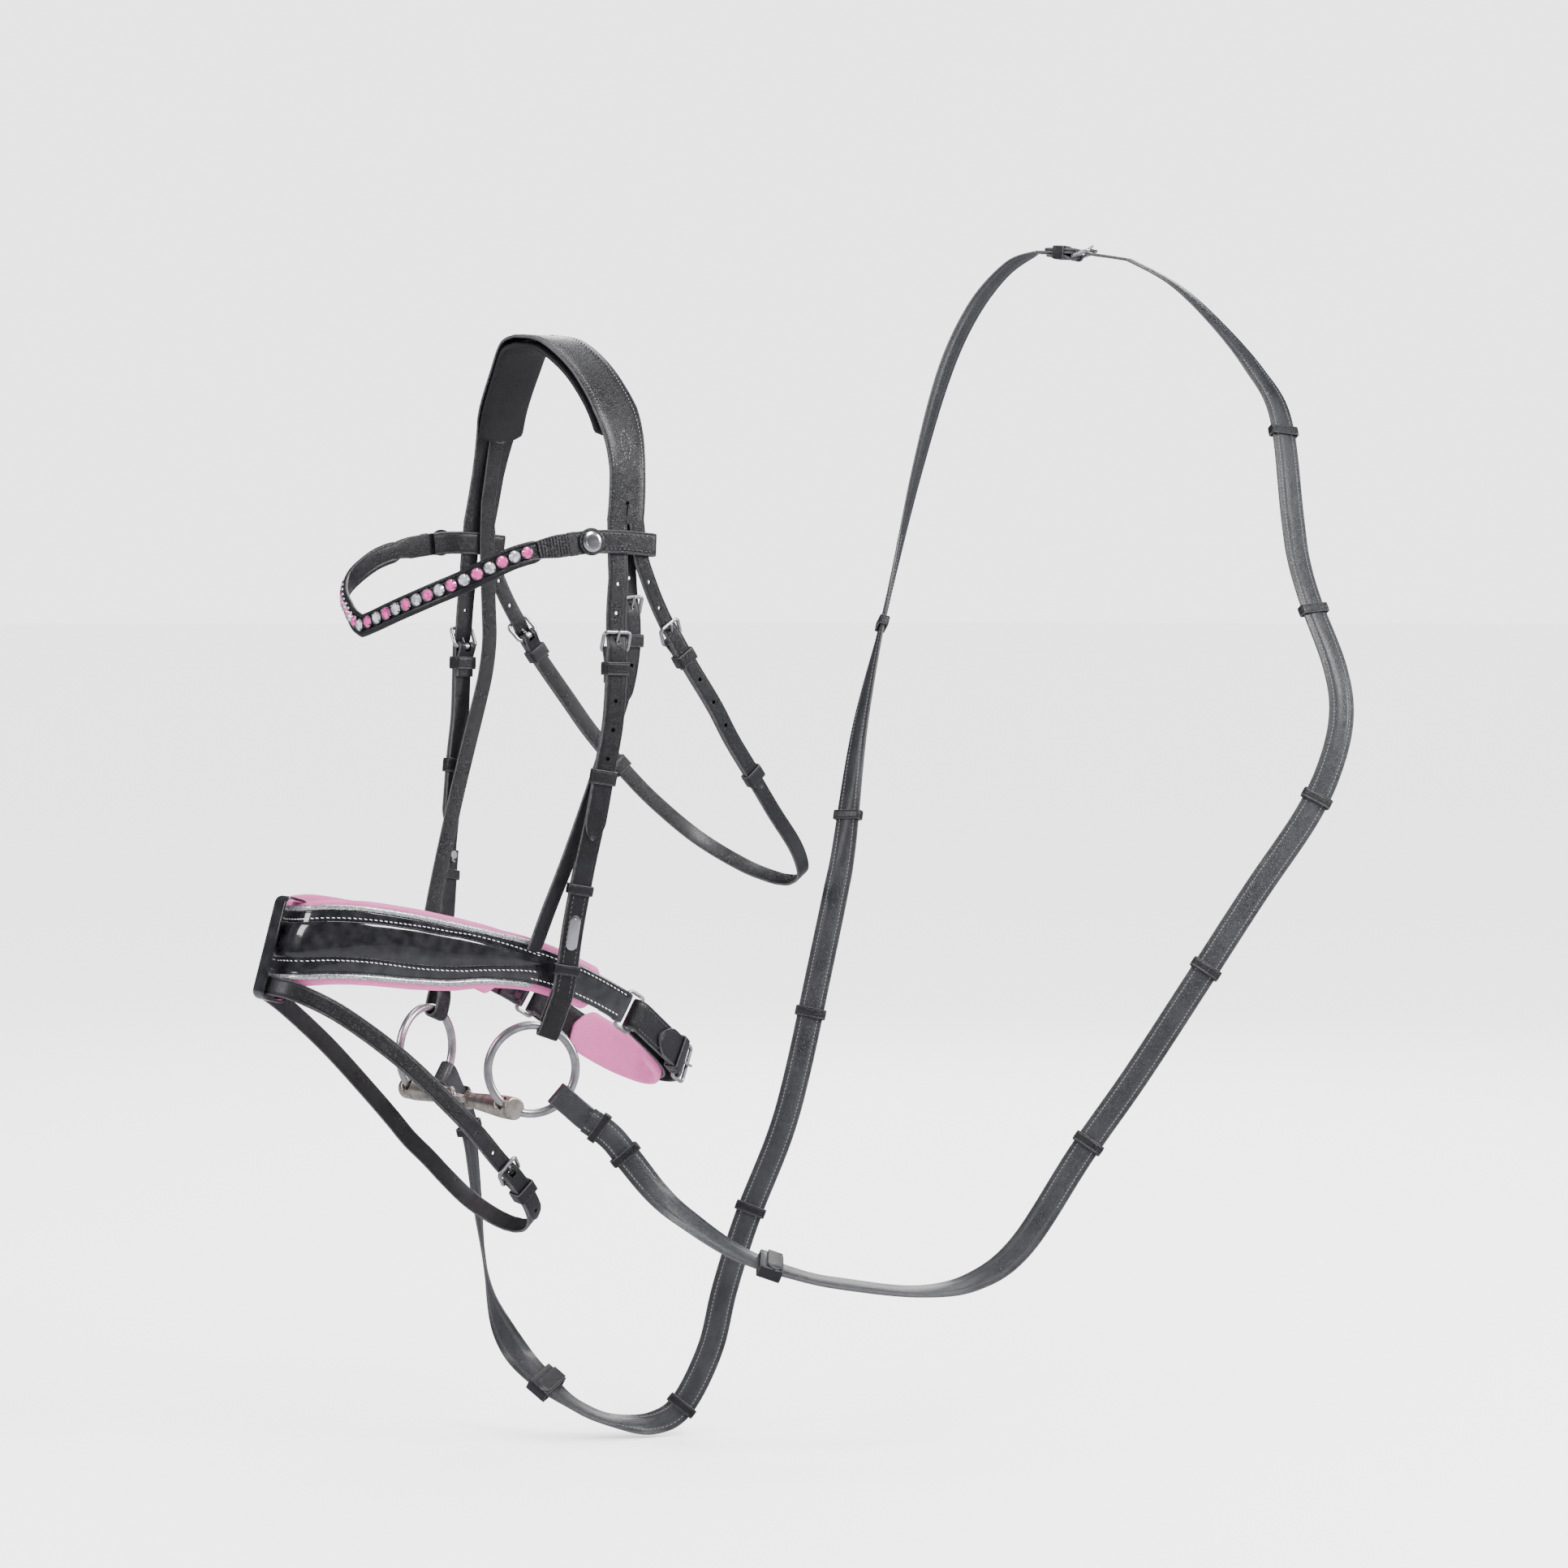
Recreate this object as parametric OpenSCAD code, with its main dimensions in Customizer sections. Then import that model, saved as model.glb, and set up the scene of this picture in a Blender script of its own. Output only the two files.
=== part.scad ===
// Snaffle bridle with flash noseband and reins, shaped as it sits on the head.
// +Z is up, the face looks along -Y, and +X is the near (left) side of the head.
// The origin is the middle of the poll seat, under the crown padding.

/* [Head that the bridle fits] */
// Width over the two cheekpieces
head_width = 206; // [175:1:250]
// Depth from the poll forward to the noseband
head_depth = 210; // [178:1:255]
// Height from the poll seat down to the bit
head_length = 471; // [395:1:570]

/* [Leather] */
// Thickness of the single straps
strap_t = 2.2; // [1.8:0.1:2.8]
// Width of the cheekpieces
cheek_w = 15; // [12:0.5:18]
// Width of the throatlash
throat_w = 12; // [10:0.5:15]
// Width of the noseband hanger
hanger_w = 12; // [10:0.5:13]
// Width of the flash strap
flash_w = 13; // [10:0.5:16]
// Width of the crank strap under the chin
crank_w = 22; // [18:0.5:26]
// Width of the crown over the poll
crown_w = 36; // [30:1:44]
// Thickness of the crown padding
crown_pad_t = 4.6; // [3:0.2:6]
// Spacing of the punched holes
hole_pitch = 20; // [17:0.5:24]
// Clearance between two layers of leather
layer_gap = 0.25; // [0.2:0.05:0.4]

/* [Buckles] */
// Diameter of the buckle wire
bar_d = 2.8; // [2.2:0.1:3.4]
// Distance between the two bars of a buckle
buckle_l = 14; // [12:0.5:17]
// Diameter of a buckle tongue
tongue_d = 2; // [1.6:0.1:2.4]
// Play of a tongue eye on its bar, on the radius
pin_fit = 0.07; // [0.03:0.01:0.1]

/* [Browband] */
// Height of the browband at its loops
browband_w = 16; // [14:0.5:19]
// Height of the crystal channel
channel_w = 11; // [10:0.5:14]
// Diameter of one crystal
stone_d = 8.2; // [7:0.1:8.6]
// Spacing of the crystals
stone_pitch = 9.2; // [8.8:0.1:10]
// Crystals on each side of the middle one
stones_each_side = 15; // [8:1:15]

/* [Noseband] */
// Thickness of the pink padding
nose_pad_t = 5; // [4:0.5:7]
// Thickness of the patent shell
shell_t = 2.4; // [2:0.1:3]
// Width of the raised patent centre
raised_w = 17; // [14:0.5:20]
// Diameter of the glitter piping
piping_d = 3.6; // [3:0.2:4.4]
// Outer diameter of a crank roller
roller_d = 7; // [6:0.2:8]

/* [Bit] */
// Outside diameter of a bit ring
ring_od = 67; // [60:1:78]
// Wire diameter of a bit ring
ring_wire = 6; // [5:0.5:7]
// Diameter of the mouthpiece at its butt
butt_d = 16; // [15:0.5:18]
// Diameter of the mouthpiece beside the link
arm_d = 11; // [9:0.5:13]

/* [Reins] */
// Width of the reins
rein_w = 19; // [16:0.5:22]
// Thickness of the reins
rein_t = 4; // [3.4:0.2:4.6]
// Spacing of the hand stops
stop_pitch = 150; // [130:5:160]

/* [Hidden] */
$fn = 40;
leather = [0.07, 0.07, 0.075];
patent = [0.02, 0.02, 0.022];
steel = [0.75, 0.76, 0.78];
pink = [0.86, 0.36, 0.62];

// ---- vectors, curves and frames -------------------------------------------
function unit(v) = v / norm(v);
function mix(a, b, t) = a + (b - a) * t;
function on_head(p) = [p.x * head_width / 206, p.y * head_depth / 210, p.z * head_length / 471];
function flip(p) = [-p.x, p.y, p.z];
function reversed(l) = [for (i = [len(l) - 1:-1:0]) l[i]];
function curve_point(a, b, c, d, t) =
    0.5 * (2 * b + (c - a) * t + (2 * a - 5 * b + 4 * c - d) * t * t
    + (3 * b - a - 3 * c + d) * t * t * t);
function curve(p, n = 6) = [
    for (i = [0:len(p) - 2]) for (j = [0:n - 1])
        curve_point(p[max(i - 1, 0)], p[i], p[i + 1], p[min(i + 2, len(p) - 1)], j / n),
    p[len(p) - 1]
];
function distances(p) = [
    for (i = 0, s = 0; i < len(p); s = s + (i + 1 < len(p) ? norm(p[i + 1] - p[i]) : 0), i = i + 1) s
];
// A route is [points, distances, width direction at its start, and at its end]
function route(p, w0, w1) = let (c = curve(p)) [c, distances(c), w0, w1];
function length_of(r) = r[1][len(r[1]) - 1];
function column(r, k) = [for (i = [0:len(r[0]) - 1]) [r[1][i], r[0][i][k]]];
function point_at(r, s) = [for (k = [0:2]) lookup(s, column(r, k))];
// The frame at distance s is [across, along, outward, point]
function frame_at(r, s) =
    let (
        p = point_at(r, s),
        along = s < 0.5 && r[0][0].x == 0 ? [1, 0, 0] : unit(point_at(r, s + 1) - point_at(r, s - 1)),
        out = unit(cross(mix(r[2], r[3], s / length_of(r)), along))
    ) [cross(along, out), along, out, p];
module on_route(r, s, lift = 0) {
    in_frame(lifted(frame_at(r, s), lift)) children();
}
// Points of one layer of leather, each with its width direction. Lifts are outward and
// shifts are across, both as [distance, amount] pairs
function layer(r, from, to, lifts = [[0, 0]], step = 6, shifts = [[0, 0]]) =
    let (n = max(1, ceil(abs(to - from) / step))) [
        for (i = [0:n])
            let (s = mix(from, to, i / n), f = frame_at(r, s))
                [f[3] + f[2] * lookup(s, lifts) + f[0] * lookup(s, shifts), f[0]]
    ];
// Half turn of leather about the middle of frame f, from its outer (first = 1) or inner
// (first = -1) face, by way of the side ahead (1) or behind (-1)
function turn(f, radius, first, ahead) = [
    for (a = [20:20:160])
        [f[3] + f[2] * first * radius * cos(a) + f[1] * ahead * radius * sin(a), f[0]]
];
function lifted(f, lift) = [f[0], f[1], f[2], f[3] + f[2] * lift];
module in_frame(f) {
    multmatrix([
        [f[0].x, f[1].x, f[2].x, f[3].x],
        [f[0].y, f[1].y, f[2].y, f[3].y],
        [f[0].z, f[1].z, f[2].z, f[3].z],
        [0, 0, 0, 1]
    ]) children();
}
// The same piece on the far side, and on both
module far_side() {
    mirror([1, 0, 0]) children();
}
module each_side() {
    children();
    far_side() children();
}
// Strap of rectangular section swept along [point, width direction] pairs
module strap(path, w, t, tip = 0) {
    n = len(path);
    rings = [
        for (i = [0:n - 1])
            let (
                along = unit(path[min(i + 1, n - 1)][0] - path[max(i - 1, 0)][0]),
                out = unit(cross(path[i][1], along)),
                across = cross(along, out),
                wide = is_list(w) ? w[i] : w,
                near_tip = tip > 0 ? min(1, 0.35 + norm(path[n - 1][0] - path[i][0]) / tip) : 1
            )
            for (c = [[1, 1], [-1, 1], [-1, -1], [1, -1]])
                path[i][0] + across * c.x * wide * near_tip / 2 + out * c.y * t / 2
    ];
    skin(rings, n, 4);
}
// Skin over n rings of m points, closed at both ends
module skin(rings, n, m) {
    sides = [
        for (i = [0:n - 2]) for (j = [0:m - 1])
            let (a = i * m + j, b = i * m + (j + 1) % m)
                each [[a, b, b + m], [a, b + m, a + m]]
    ];
    ends = concat(
        [for (j = [1:m - 2]) [0, j + 1, j]],
        [for (j = [1:m - 2]) let (e = (n - 1) * m) [e, e + j, e + j + 1]]
    );
    polyhedron(points = rings, faces = concat(sides, ends), convexity = 8);
}

// ---- routes over the head ---------------------------------------------------
forward = [0, -1, 0];
down = [0, 0, -1];
// Crown and cheekpiece, from the middle of the poll down the near side to the bit
CHEEK = route([for (p = [
    [0, -7, 8], [25, -2, 4], [50, 5, -13], [72, 9, -37], [84, 11, -59], [92, 10, -84],
    [96, 7, -110], [98, 3, -132], [100, -2, -156], [101, -5, -183], [102, -6, -206],
    [102, -7, -235], [101, -9, -263], [99, -14, -292], [96, -19, -325], [92, -25, -358],
    [87, -31, -398], [85, -35, -428], [83, -38, -448]
]) on_head(p)], forward, [-0.3, -0.9, 0.3]);
// Throatlash, from the slit in the crown to the middle under the jaw
THROAT = route([for (p = [
    [98.9, 13, -122], [99.7, 16, -146], [99.7, 21, -160], [99, 30, -179], [98, 42, -199],
    [97, 57, -221], [95, 79, -250], [91, 97, -275], [85, 121, -303], [77, 143, -327],
    [63, 172, -354], [38, 196, -374], [13, 206, -382], [0, 207, -383]
]) on_head(p)], [0, -0.8, -0.6], [0, -0.8, -0.6]);
// Sliphead and noseband hanger, inside the crown and down to the noseband
HANGER = route([for (p = [
    [91, 9, -106], [93, 9, -135], [94, 10, -160], [94.5, 11, -182], [94.5, 11.5, -206],
    [94, 8, -230], [93, 1, -254], [91, -9, -284], [88, -20, -316], [83, -33, -354],
    [77, -45, -388], [73, -52, -410], [70, -55, -420]
]) on_head(p)], forward, [0, -1, -0.3]);
// Browband, from the middle of its V round to the rear of its near loop
BROW = route([for (p = [
    [0, -146, -193], [14, -144, -189], [30, -139, -183], [46, -133, -177], [62, -124, -170],
    [76, -113, -163], [85, -99, -155], [91, -83, -147], [95, -66, -142], [97.5, -48, -139],
    [99.3, -23, -136], [101.2, 0, -136], [102.2, 12, -137], [103.2, 24, -138]
]) on_head(p)], down, [0.08, 0, -1]);
// Noseband, from the middle of the nose to the near crank frame and on to the chin
nose_down = [0, -0.28, -0.96];
NOSE = route([for (p = [
    [0, -210, -408], [20, -206, -407], [34, -190, -406], [44, -165, -408], [54, -116, -416],
    [61, -85, -420], [66, -51, -427], [69, -19, -439], [69, 15, -456], [66, 37, -470],
    [61, 56, -484], [51, 75, -497], [34, 90, -507], [14, 98, -512], [0, 99, -513]
]) on_head(p)], nose_down, nose_down);
// Flash strap, from the middle of the nose to the middle of the chin groove
FLASH = route([for (p = [
    [0, -223.5, -436], [14, -221.5, -436.5], [28, -212, -440.5], [41, -186, -456], [52, -147, -487],
    [58, -111, -522], [60, -91, -543], [60, -77, -559], [58, -63, -573], [54, -50, -588],
    [44, -38, -603], [26, -30, -613], [8, -27, -617], [0, -27, -617]
]) on_head(p)], [0, -0.35, -0.94], [0, -0.75, -0.66]);
// Reins: the middle line of each, as they hang from the bit and lie over the withers
LEFT_REIN = [
    [90.5, -22.5, -533.3], [100, -10, -545], [107, 1, -561], [116, 17, -584], [126, 33, -601],
    [145, 66, -627], [165, 103, -643], [180, 131, -650], [205, 176, -656], [222, 212, -650], [234, 245, -626],
    [244, 289, -565], [255, 330, -511], [268, 376, -445], [276, 421, -385], [283, 464, -331],
    [284, 486, -294], [279, 500, -259], [266, 505, -225], [240, 505, -179], [222, 509, -148],
    [206, 517, -116], [171, 536, -43], [139, 538, -6], [103, 531, 30], [68, 520, 60],
    [34, 504, 80]
];
LEFT_FACE = [
    [0.83, -0.5, 0.14], [0.83, -0.5, 0.14], [0.8, -0.5, 0.3], [0.7, -0.4, 0.6], [0.6, -0.3, 0.8],
    [0.4, -0.2, 0.9], [0.2, -0.2, 1], [0.2, -0.2, 1], [0.2, -0.2, 1], [0.4, -0.4, 0.8], [0.7, -0.6, 0.6],
    [0.8, -0.6, 0.3], [0.8, -0.6, 0.2], [0.8, -0.6, 0.1], [0.8, -0.6, 0.1], [0.8, -0.6, 0.1],
    [0.9, -0.5, 0.1], [0.9, -0.4, 0.2], [0.9, -0.3, 0.3], [0.9, -0.2, 0.4], [0.9, -0.2, 0.5],
    [0.8, -0.2, 0.5], [0.7, -0.1, 0.6], [0.6, 0, 0.7], [0.4, 0.1, 0.8], [0.2, 0.1, 0.9],
    [0, 0, 1]
];
RIGHT_REIN = [
    [-90.5, -22.5, -533.3], [-99, -11, -546], [-102, -2, -570], [-97, 0, -608], [-84, -2, -650],
    [-66, -4, -688], [-42, 1, -718], [-18, 14, -740], [-4, 34, -757], [7, 55, -766], [18, 78, -768],
    [26, 98, -756], [31, 119, -717], [31, 132, -674], [32, 151, -624], [36, 177, -566],
    [35, 194, -519], [31, 215, -451], [26, 234, -392], [21, 245, -360], [6, 271, -269],
    [-10, 310, -170], [-30, 350, -80], [-46, 388, -5], [-54, 422, 44], [-48, 450, 76],
    [-32, 466, 88]
];
RIGHT_FACE = [
    [-0.83, -0.5, 0.14], [-0.83, -0.5, 0.14], [-0.85, -0.5, 0], [-0.8, -0.6, 0], [-0.6, -0.7, 0.2],
    [-0.4, -0.6, 0.6], [-0.2, -0.5, 0.8], [0, -0.4, 0.9], [0.1, -0.3, 1], [0.2, -0.3, 0.9], [0.5, -0.5, 0.6],
    [0.8, -0.6, 0.2], [0.8, -0.6, 0], [0.8, -0.6, 0], [0.8, -0.6, 0], [0.8, -0.6, 0],
    [0.8, -0.6, 0], [0.8, -0.6, 0], [0.7, -0.7, 0], [0.5, -0.8, 0], [0, -1, 0],
    [-0.6, -0.7, 0.2], [-0.9, -0.4, 0.3], [-0.9, -0.1, 0.4], [-0.7, 0.1, 0.6], [-0.4, 0.2, 0.9],
    [0, 0, 1]
];
// The short straps that join the reins lie straight over the withers
MEET = route([[34, 504, 80], [1, 485, 86], [-32, 466, 88]], [-0.5, 0.86, 0], [-0.5, 0.86, 0]);

// ---- where things sit along the routes ---------------------------------------
lap = strap_t + layer_gap;
fold_r = bar_d / 2 + 0.3 + strap_t / 2;
hole_back = 6;
hole_d = 3;
slit_at = 180;
cheek_bar = 270;
throat_bar = 89;
// The hanger's buckle stays above the cheekpiece's on a head of any size
hanger_top = lookup(-HANGER[0][0].z, [for (i = [0:len(CHEEK[0]) - 1]) [-CHEEK[0][i].z, CHEEK[1][i]]]);
hanger_bar = cheek_bar - hanger_top - 25.14;
flash_bar = 238;
meet_bar = 44;
sliphead_t = strap_t - 0.4;
sliphead_lift = -strap_t / 2 - 2 * layer_gap - sliphead_t / 2;

// ---- buckles, tongues and keepers ----------------------------------------------
frame_rise = asin((fold_r + strap_t / 2 + layer_gap + bar_d / 2) / buckle_l);
tongue_rise = frame_rise + asin((bar_d / 2 + tongue_d / 2 + 0.3) / buckle_l);
tongue_reach = buckle_l + 1.5;
// Fold of leather round a bar at distance s, with its tail below: it ends going down the
// route as the upper layer
function fold(r, s, tail) = concat(
    layer(r, s + tail, s, [[s, -2 * fold_r], [s + 8, -lap]], 4),
    turn(lifted(frame_at(r, s), -fold_r), fold_r, -1, -1)
);
// Billet that comes down the route, over the bar and on to its tip
function billet(r, from, bar, tip, shifts = [[0, 0]]) = concat(
    layer(r, from, bar - 12, [[0, 0]], 6, shifts),
    layer(r, bar - 1.5, bar + tip, [[0, lap]], 6, shifts)
);
// Slanted hole where the tongue comes up through the billet
module tongue_hole(r, s) {
    on_route(r, s, -fold_r)
        rotate([90 - tongue_rise - 2, 0, 0]) cylinder(d = tongue_d + 1.3, h = buckle_l);
}
// Room in a fold for the eye of the tongue
module tongue_slot(r, s) {
    on_route(r, s, -fold_r) translate([-2.4, -6, -6]) cube([4.8, 9.6, 12]);
}
// Punched holes of a billet, counted from the one that the tongue is in
module punched(r, bar, list) {
    for (k = list)
        on_route(r, bar - hole_back + k * hole_pitch, k > 0 ? lap : 0)
            cylinder(d = hole_d, h = 2 * strap_t, center = true);
}
// Round-wire frame with its first bar at the origin and its second at +Y
module wire_frame(inner_w, length) {
    half = inner_w / 2 + bar_d / 2;
    r = bar_d;
    for (x = [-1, 1])
        translate([x * half, r, 0]) rotate([-90, 0, 0]) cylinder(d = bar_d, h = length - 2 * r);
    for (y = [0, length])
        translate([r - half, y, 0]) rotate([0, 90, 0]) cylinder(d = bar_d, h = 2 * (half - r));
    for (c = [[half - r, length - r, 0], [r - half, length - r, 90],
        [r - half, r, 180], [half - r, r, 270]])
        translate([c.x, c.y, 0]) rotate([0, 0, c.z])
            rotate_extrude(angle = 90) translate([r, 0]) circle(d = bar_d);
}
// Turns a piece that lies along +Y so that it stands up the route from a bar
module from_bar(r, bar, rise) {
    on_route(r, bar, -fold_r) rotate([0, 0, 180]) rotate([rise, 0, 0]) children();
}
module buckle(r, bar, w) {
    color(steel) from_bar(r, bar, frame_rise) wire_frame(w + 1.6, buckle_l);
}
module tongue(r, bar) {
    eye_wall = 1.1;
    eye_w = 3.2;
    color(steel) from_bar(r, bar, tongue_rise) difference() {
        union() {
            rotate([0, 90, 0]) cylinder(d = bar_d + 2 * eye_wall, h = eye_w, center = true);
            rotate([-90, 0, 0]) cylinder(d = tongue_d, h = tongue_reach);
            translate([0, tongue_reach, 0]) sphere(d = tongue_d);
        }
        rotate([0, 90, 0]) cylinder(r = bar_d / 2 + pin_fit, h = 8, center = true);
    }
}
// Loop of leather round everything between two heights of the route
module keeper(r, s, w, low, high, length, room = 0.35) {
    wall = 1.4;
    color(leather) on_route(r, s, (low + high) / 2) difference() {
        cube([w + 2 * (room + wall), length, high - low + 2 * (room + wall)], center = true);
        cube([w + 2 * room, length + 2, high - low + 2 * room], center = true);
    }
}
module fixed_keeper(r, s, w, room = 0.35) {
    keeper(r, s, w, -lap - strap_t / 2, lap + strap_t / 2, 9, room);
}
module runner(r, s, w) {
    keeper(r, s, w, -strap_t / 2, lap + strap_t / 2, 10);
}

// ---- crown, sliphead and throatlash ---------------------------------------------
// The same leather on the far side, run toward the middle
function mirrored(path) = [for (q = reversed(path)) [flip(q[0]), flip(q[1])]];
function both_sides(path) = concat(mirrored(path), [for (i = [1:len(path) - 1]) path[i]]);
function both_ways(list) = concat(reversed(list), [for (i = [1:len(list) - 1]) list[i]]);
function crown_width(s) = lookup(s, [[0, crown_w], [100, crown_w], [130, cheek_w + throat_w + 3],
    [145, cheek_w + throat_w + 1]]);
cheek_shift = [[slit_at, throat_w / 2 + 0.5], [slit_at + 40, 0]];
module crown_leather() {
    crown_end = slit_at + 2;
    near = layer(CHEEK, 0, crown_end);
    widths = [for (i = [0:len(near) - 1]) crown_width(i * crown_end / (len(near) - 1))];
    color(leather) difference() {
        union() {
            strap(both_sides(near), both_ways(widths), strap_t);
            each_side() {
                strap(billet(CHEEK, slit_at - 4, cheek_bar, 131, cheek_shift),
                    cheek_w, strap_t, 14);
                strap(billet(THROAT, 0, throat_bar, 134), throat_w, strap_t, 12);
            }
        }
        each_side() {
            on_route(CHEEK, slit_at - 12) cylinder(d = hole_d, h = 9, center = true);
            tongue_hole(CHEEK, cheek_bar);
            punched(CHEEK, cheek_bar, [-2, -1, 2, 3, 4]);
            tongue_hole(THROAT, throat_bar);
            punched(THROAT, throat_bar, [-2, -1, 2, 3, 4]);
        }
    }
}
pad_lift = sliphead_lift - sliphead_t / 2 - 2 * layer_gap - crown_pad_t / 2;
module crown_padding() {
    color(leather)
        strap(both_sides(layer(CHEEK, 0, 118, [[0, pad_lift]])), crown_w - 2, crown_pad_t);
}
// The sliphead runs under the crown; its far end is sewn to the noseband as one strap
slip_top = [[0, sliphead_lift], [120, sliphead_lift], [150, sliphead_lift - 2.6]];
module sliphead() {
    over = layer(CHEEK, 0, 150, slip_top);
    near = billet(HANGER, 0, hanger_bar, 62);
    far = layer(HANGER, 0, length_of(HANGER) - 4);
    color(leather) difference() {
        strap(concat(mirrored(far), both_sides(over), near), hanger_w, sliphead_t, 12);
        tongue_hole(HANGER, hanger_bar);
        punched(HANGER, hanger_bar, [-1, 2]);
    }
}
module hanger_strap() {
    color(leather) difference() {
        strap(concat(fold(HANGER, hanger_bar, 20),
            layer(HANGER, hanger_bar, length_of(HANGER) - 4)), hanger_w, strap_t);
        tongue_slot(HANGER, hanger_bar);
    }
}
module throatlash() {
    near = concat(fold(THROAT, throat_bar, 22),
        layer(THROAT, throat_bar, length_of(THROAT) - 4));
    color(leather) difference() {
        strap(concat(near, mirrored(near)), throat_w, strap_t);
        each_side() tongue_slot(THROAT, throat_bar);
    }
}

// ---- bit rings and the loops of leather round them ---------------------------------
ring_c = on_head([72, -56, -498]);
ring_r = (ring_od - ring_wire) / 2;
ring_turn = 22;
ring_back = [sin(ring_turn), cos(ring_turn), 0];
ring_out = [cos(ring_turn), -sin(ring_turn), 0];
// Point of the ring's wire at an angle from its top toward the rear
function on_ring(a) = ring_c + ring_r * (sin(a) * ring_back + [0, 0, cos(a)]);
function radial(a) = sin(a) * ring_back + [0, 0, cos(a)];
hug_r = ring_wire / 2 + 0.6 + strap_t / 2 + (cheek_w * cheek_w - 225) / (8 * ring_r);
// Frame of a loop that leaves the ring toward away: its middle is nearer the ring's centre
function loop_frame(a, away, room) =
    let (
        along = unit(away),
        across = unit(cross(along, ring_out)),
        out = cross(across, along)
    ) [across, along, out, on_ring(a) - along * room];
CHEEK_LOOP = loop_frame(24, radial(20), 1.5);
cheek_end = length_of(CHEEK);
hook_end = 418;
tail_keepers = [436, 492];
plate_at = 466;
module cheekpiece() {
    f = CHEEK_LOOP;
    outer = concat(fold(CHEEK, cheek_bar, 22), layer(CHEEK, cheek_bar, cheek_end));
    side = -f[0];
    around = [for (a = [0:20:180])
        [f[3] + f[2] * hug_r * cos(a) - f[1] * hug_r * sin(a), side]];
    legs = [[f[3] + f[2] * hug_r + f[1] * 10, side], [f[3] - f[2] * hug_r + f[1] * 10, side]];
    tail = layer(CHEEK, cheek_end - 6, hook_end, [[0, -lap]]);
    color(leather) difference() {
        strap(concat(outer, [legs[0]], around, [legs[1]], tail), cheek_w, strap_t);
        tongue_slot(CHEEK, cheek_bar);
    }
}

module cheek_runner() {
    runner(CHEEK, cheek_bar + 87, cheek_w);
}
module throat_runner() {
    runner(THROAT, throat_bar + 122, throat_w);
}
module nameplate() {
    plate_w = 8;
    plate_l = 24;
    color(steel) on_route(CHEEK, plate_at, strap_t / 2 + 0.35) {
        for (y = [-1, 1]) translate([0, y * (plate_l - plate_w) / 2, 0])
            cylinder(d = plate_w, h = 1);
        translate([-plate_w / 2, -(plate_l - plate_w) / 2, 0])
            cube([plate_w, plate_l - plate_w, 1]);
    }
}
// Stud that closes a returned tail: a shank, a head and its hook
module hook_stud() {
    color(steel) {
        cylinder(d = 6, h = 1.2);
        translate([-1, -2, 1]) cube([2, 7.5, 1.2]);
        translate([-1, 4.3, -0.6]) cube([2, 1.2, 2]);
    }
}
module cheek_stud() {
    on_route(CHEEK, hook_end + 4, -lap - strap_t / 2 - 2.4) hook_stud();
}
module keepers() {
    each_side() {
        fixed_keeper(CHEEK, cheek_bar + 12, cheek_w);
        fixed_keeper(THROAT, throat_bar + 15, throat_w);
        for (s = tail_keepers)
            keeper(CHEEK, s, cheek_w, -lap - strap_t / 2, strap_t / 2, 7);
    }
    fixed_keeper(HANGER, hanger_bar + 17, hanger_w);
    fixed_keeper(FLASH, flash_bar + 14, flash_w, 0.7);
    fixed_keeper(CRANK, crank_bar + 13, crank_w);
}

// ---- browband -------------------------------------------------------------------------
band_t = 2;
brow_end = length_of(BROW);
snap_at = brow_end - 49;
channel_end = stone_pitch * (stones_each_side + 0.6);
brow_gap = (strap_t + band_t + 1.6) * head_width / 206;
function brow_width(s) = lookup(s, [[0, channel_w], [channel_end + 6, channel_w],
    [channel_end + 16, browband_w], [300, browband_w]]);
module browband() {
    out_run = layer(BROW, 0, brow_end, [[0, 0]], 5);
    around = turn(lifted(frame_at(BROW, brow_end), -brow_gap / 2), brow_gap / 2, 1, 1);
    back = layer(BROW, brow_end, snap_at - 9, [
        [snap_at, -band_t - 2 * layer_gap], [snap_at + 12, -brow_gap]], 5);
    half = concat(out_run, around, back);
    widths = concat(
        [for (i = [0:len(out_run) - 1]) brow_width(brow_end * i / (len(out_run) - 1))],
        [for (i = [1:len(around) + len(back)]) browband_w]);
    color(leather) strap(both_sides(half), both_ways(widths), band_t);
}
cup_h = 2;
module on_each_stone(colour_step) {
    for (i = [-stones_each_side:stones_each_side])
        if (colour_step < 0 || abs(i) % 2 == colour_step)
            mirror([i < 0 ? 1 : 0, 0, 0])
                on_route(BROW, abs(i) * stone_pitch, band_t / 2 + 0.15) children();
}
module crystal_settings() {
    claw = 0.9;
    color(steel) on_each_stone(-1) {
        difference() {
            cylinder(d = stone_d + 0.6, h = cup_h);
            translate([0, 0, 0.6]) cylinder(d = stone_d - 0.4, h = cup_h);
        }
        for (a = [45:90:315]) rotate([0, 0, a])
            translate([stone_d / 2 - claw, -claw / 2, cup_h]) cube([claw + 0.2, claw, 1]);
    }
}
module crystals(step, tint) {
    color(tint) on_each_stone(step) translate([0, 0, 0.65]) {
        cylinder(d = stone_d - 0.5, h = cup_h - 0.65);
        translate([0, 0, cup_h - 0.65])
            cylinder(d1 = stone_d - 2, d2 = stone_d - 4, h = 1.5);
    }
}
module browband_snaps() {
    snap_d = 15.5;
    color(steel) each_side()
        on_route(BROW, snap_at, band_t / 2 + 0.25) {
            cylinder(d = snap_d, h = 1.4);
            translate([0, 0, 1.4]) cylinder(d1 = snap_d, d2 = snap_d - 4, h = 1);
        }
}

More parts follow.
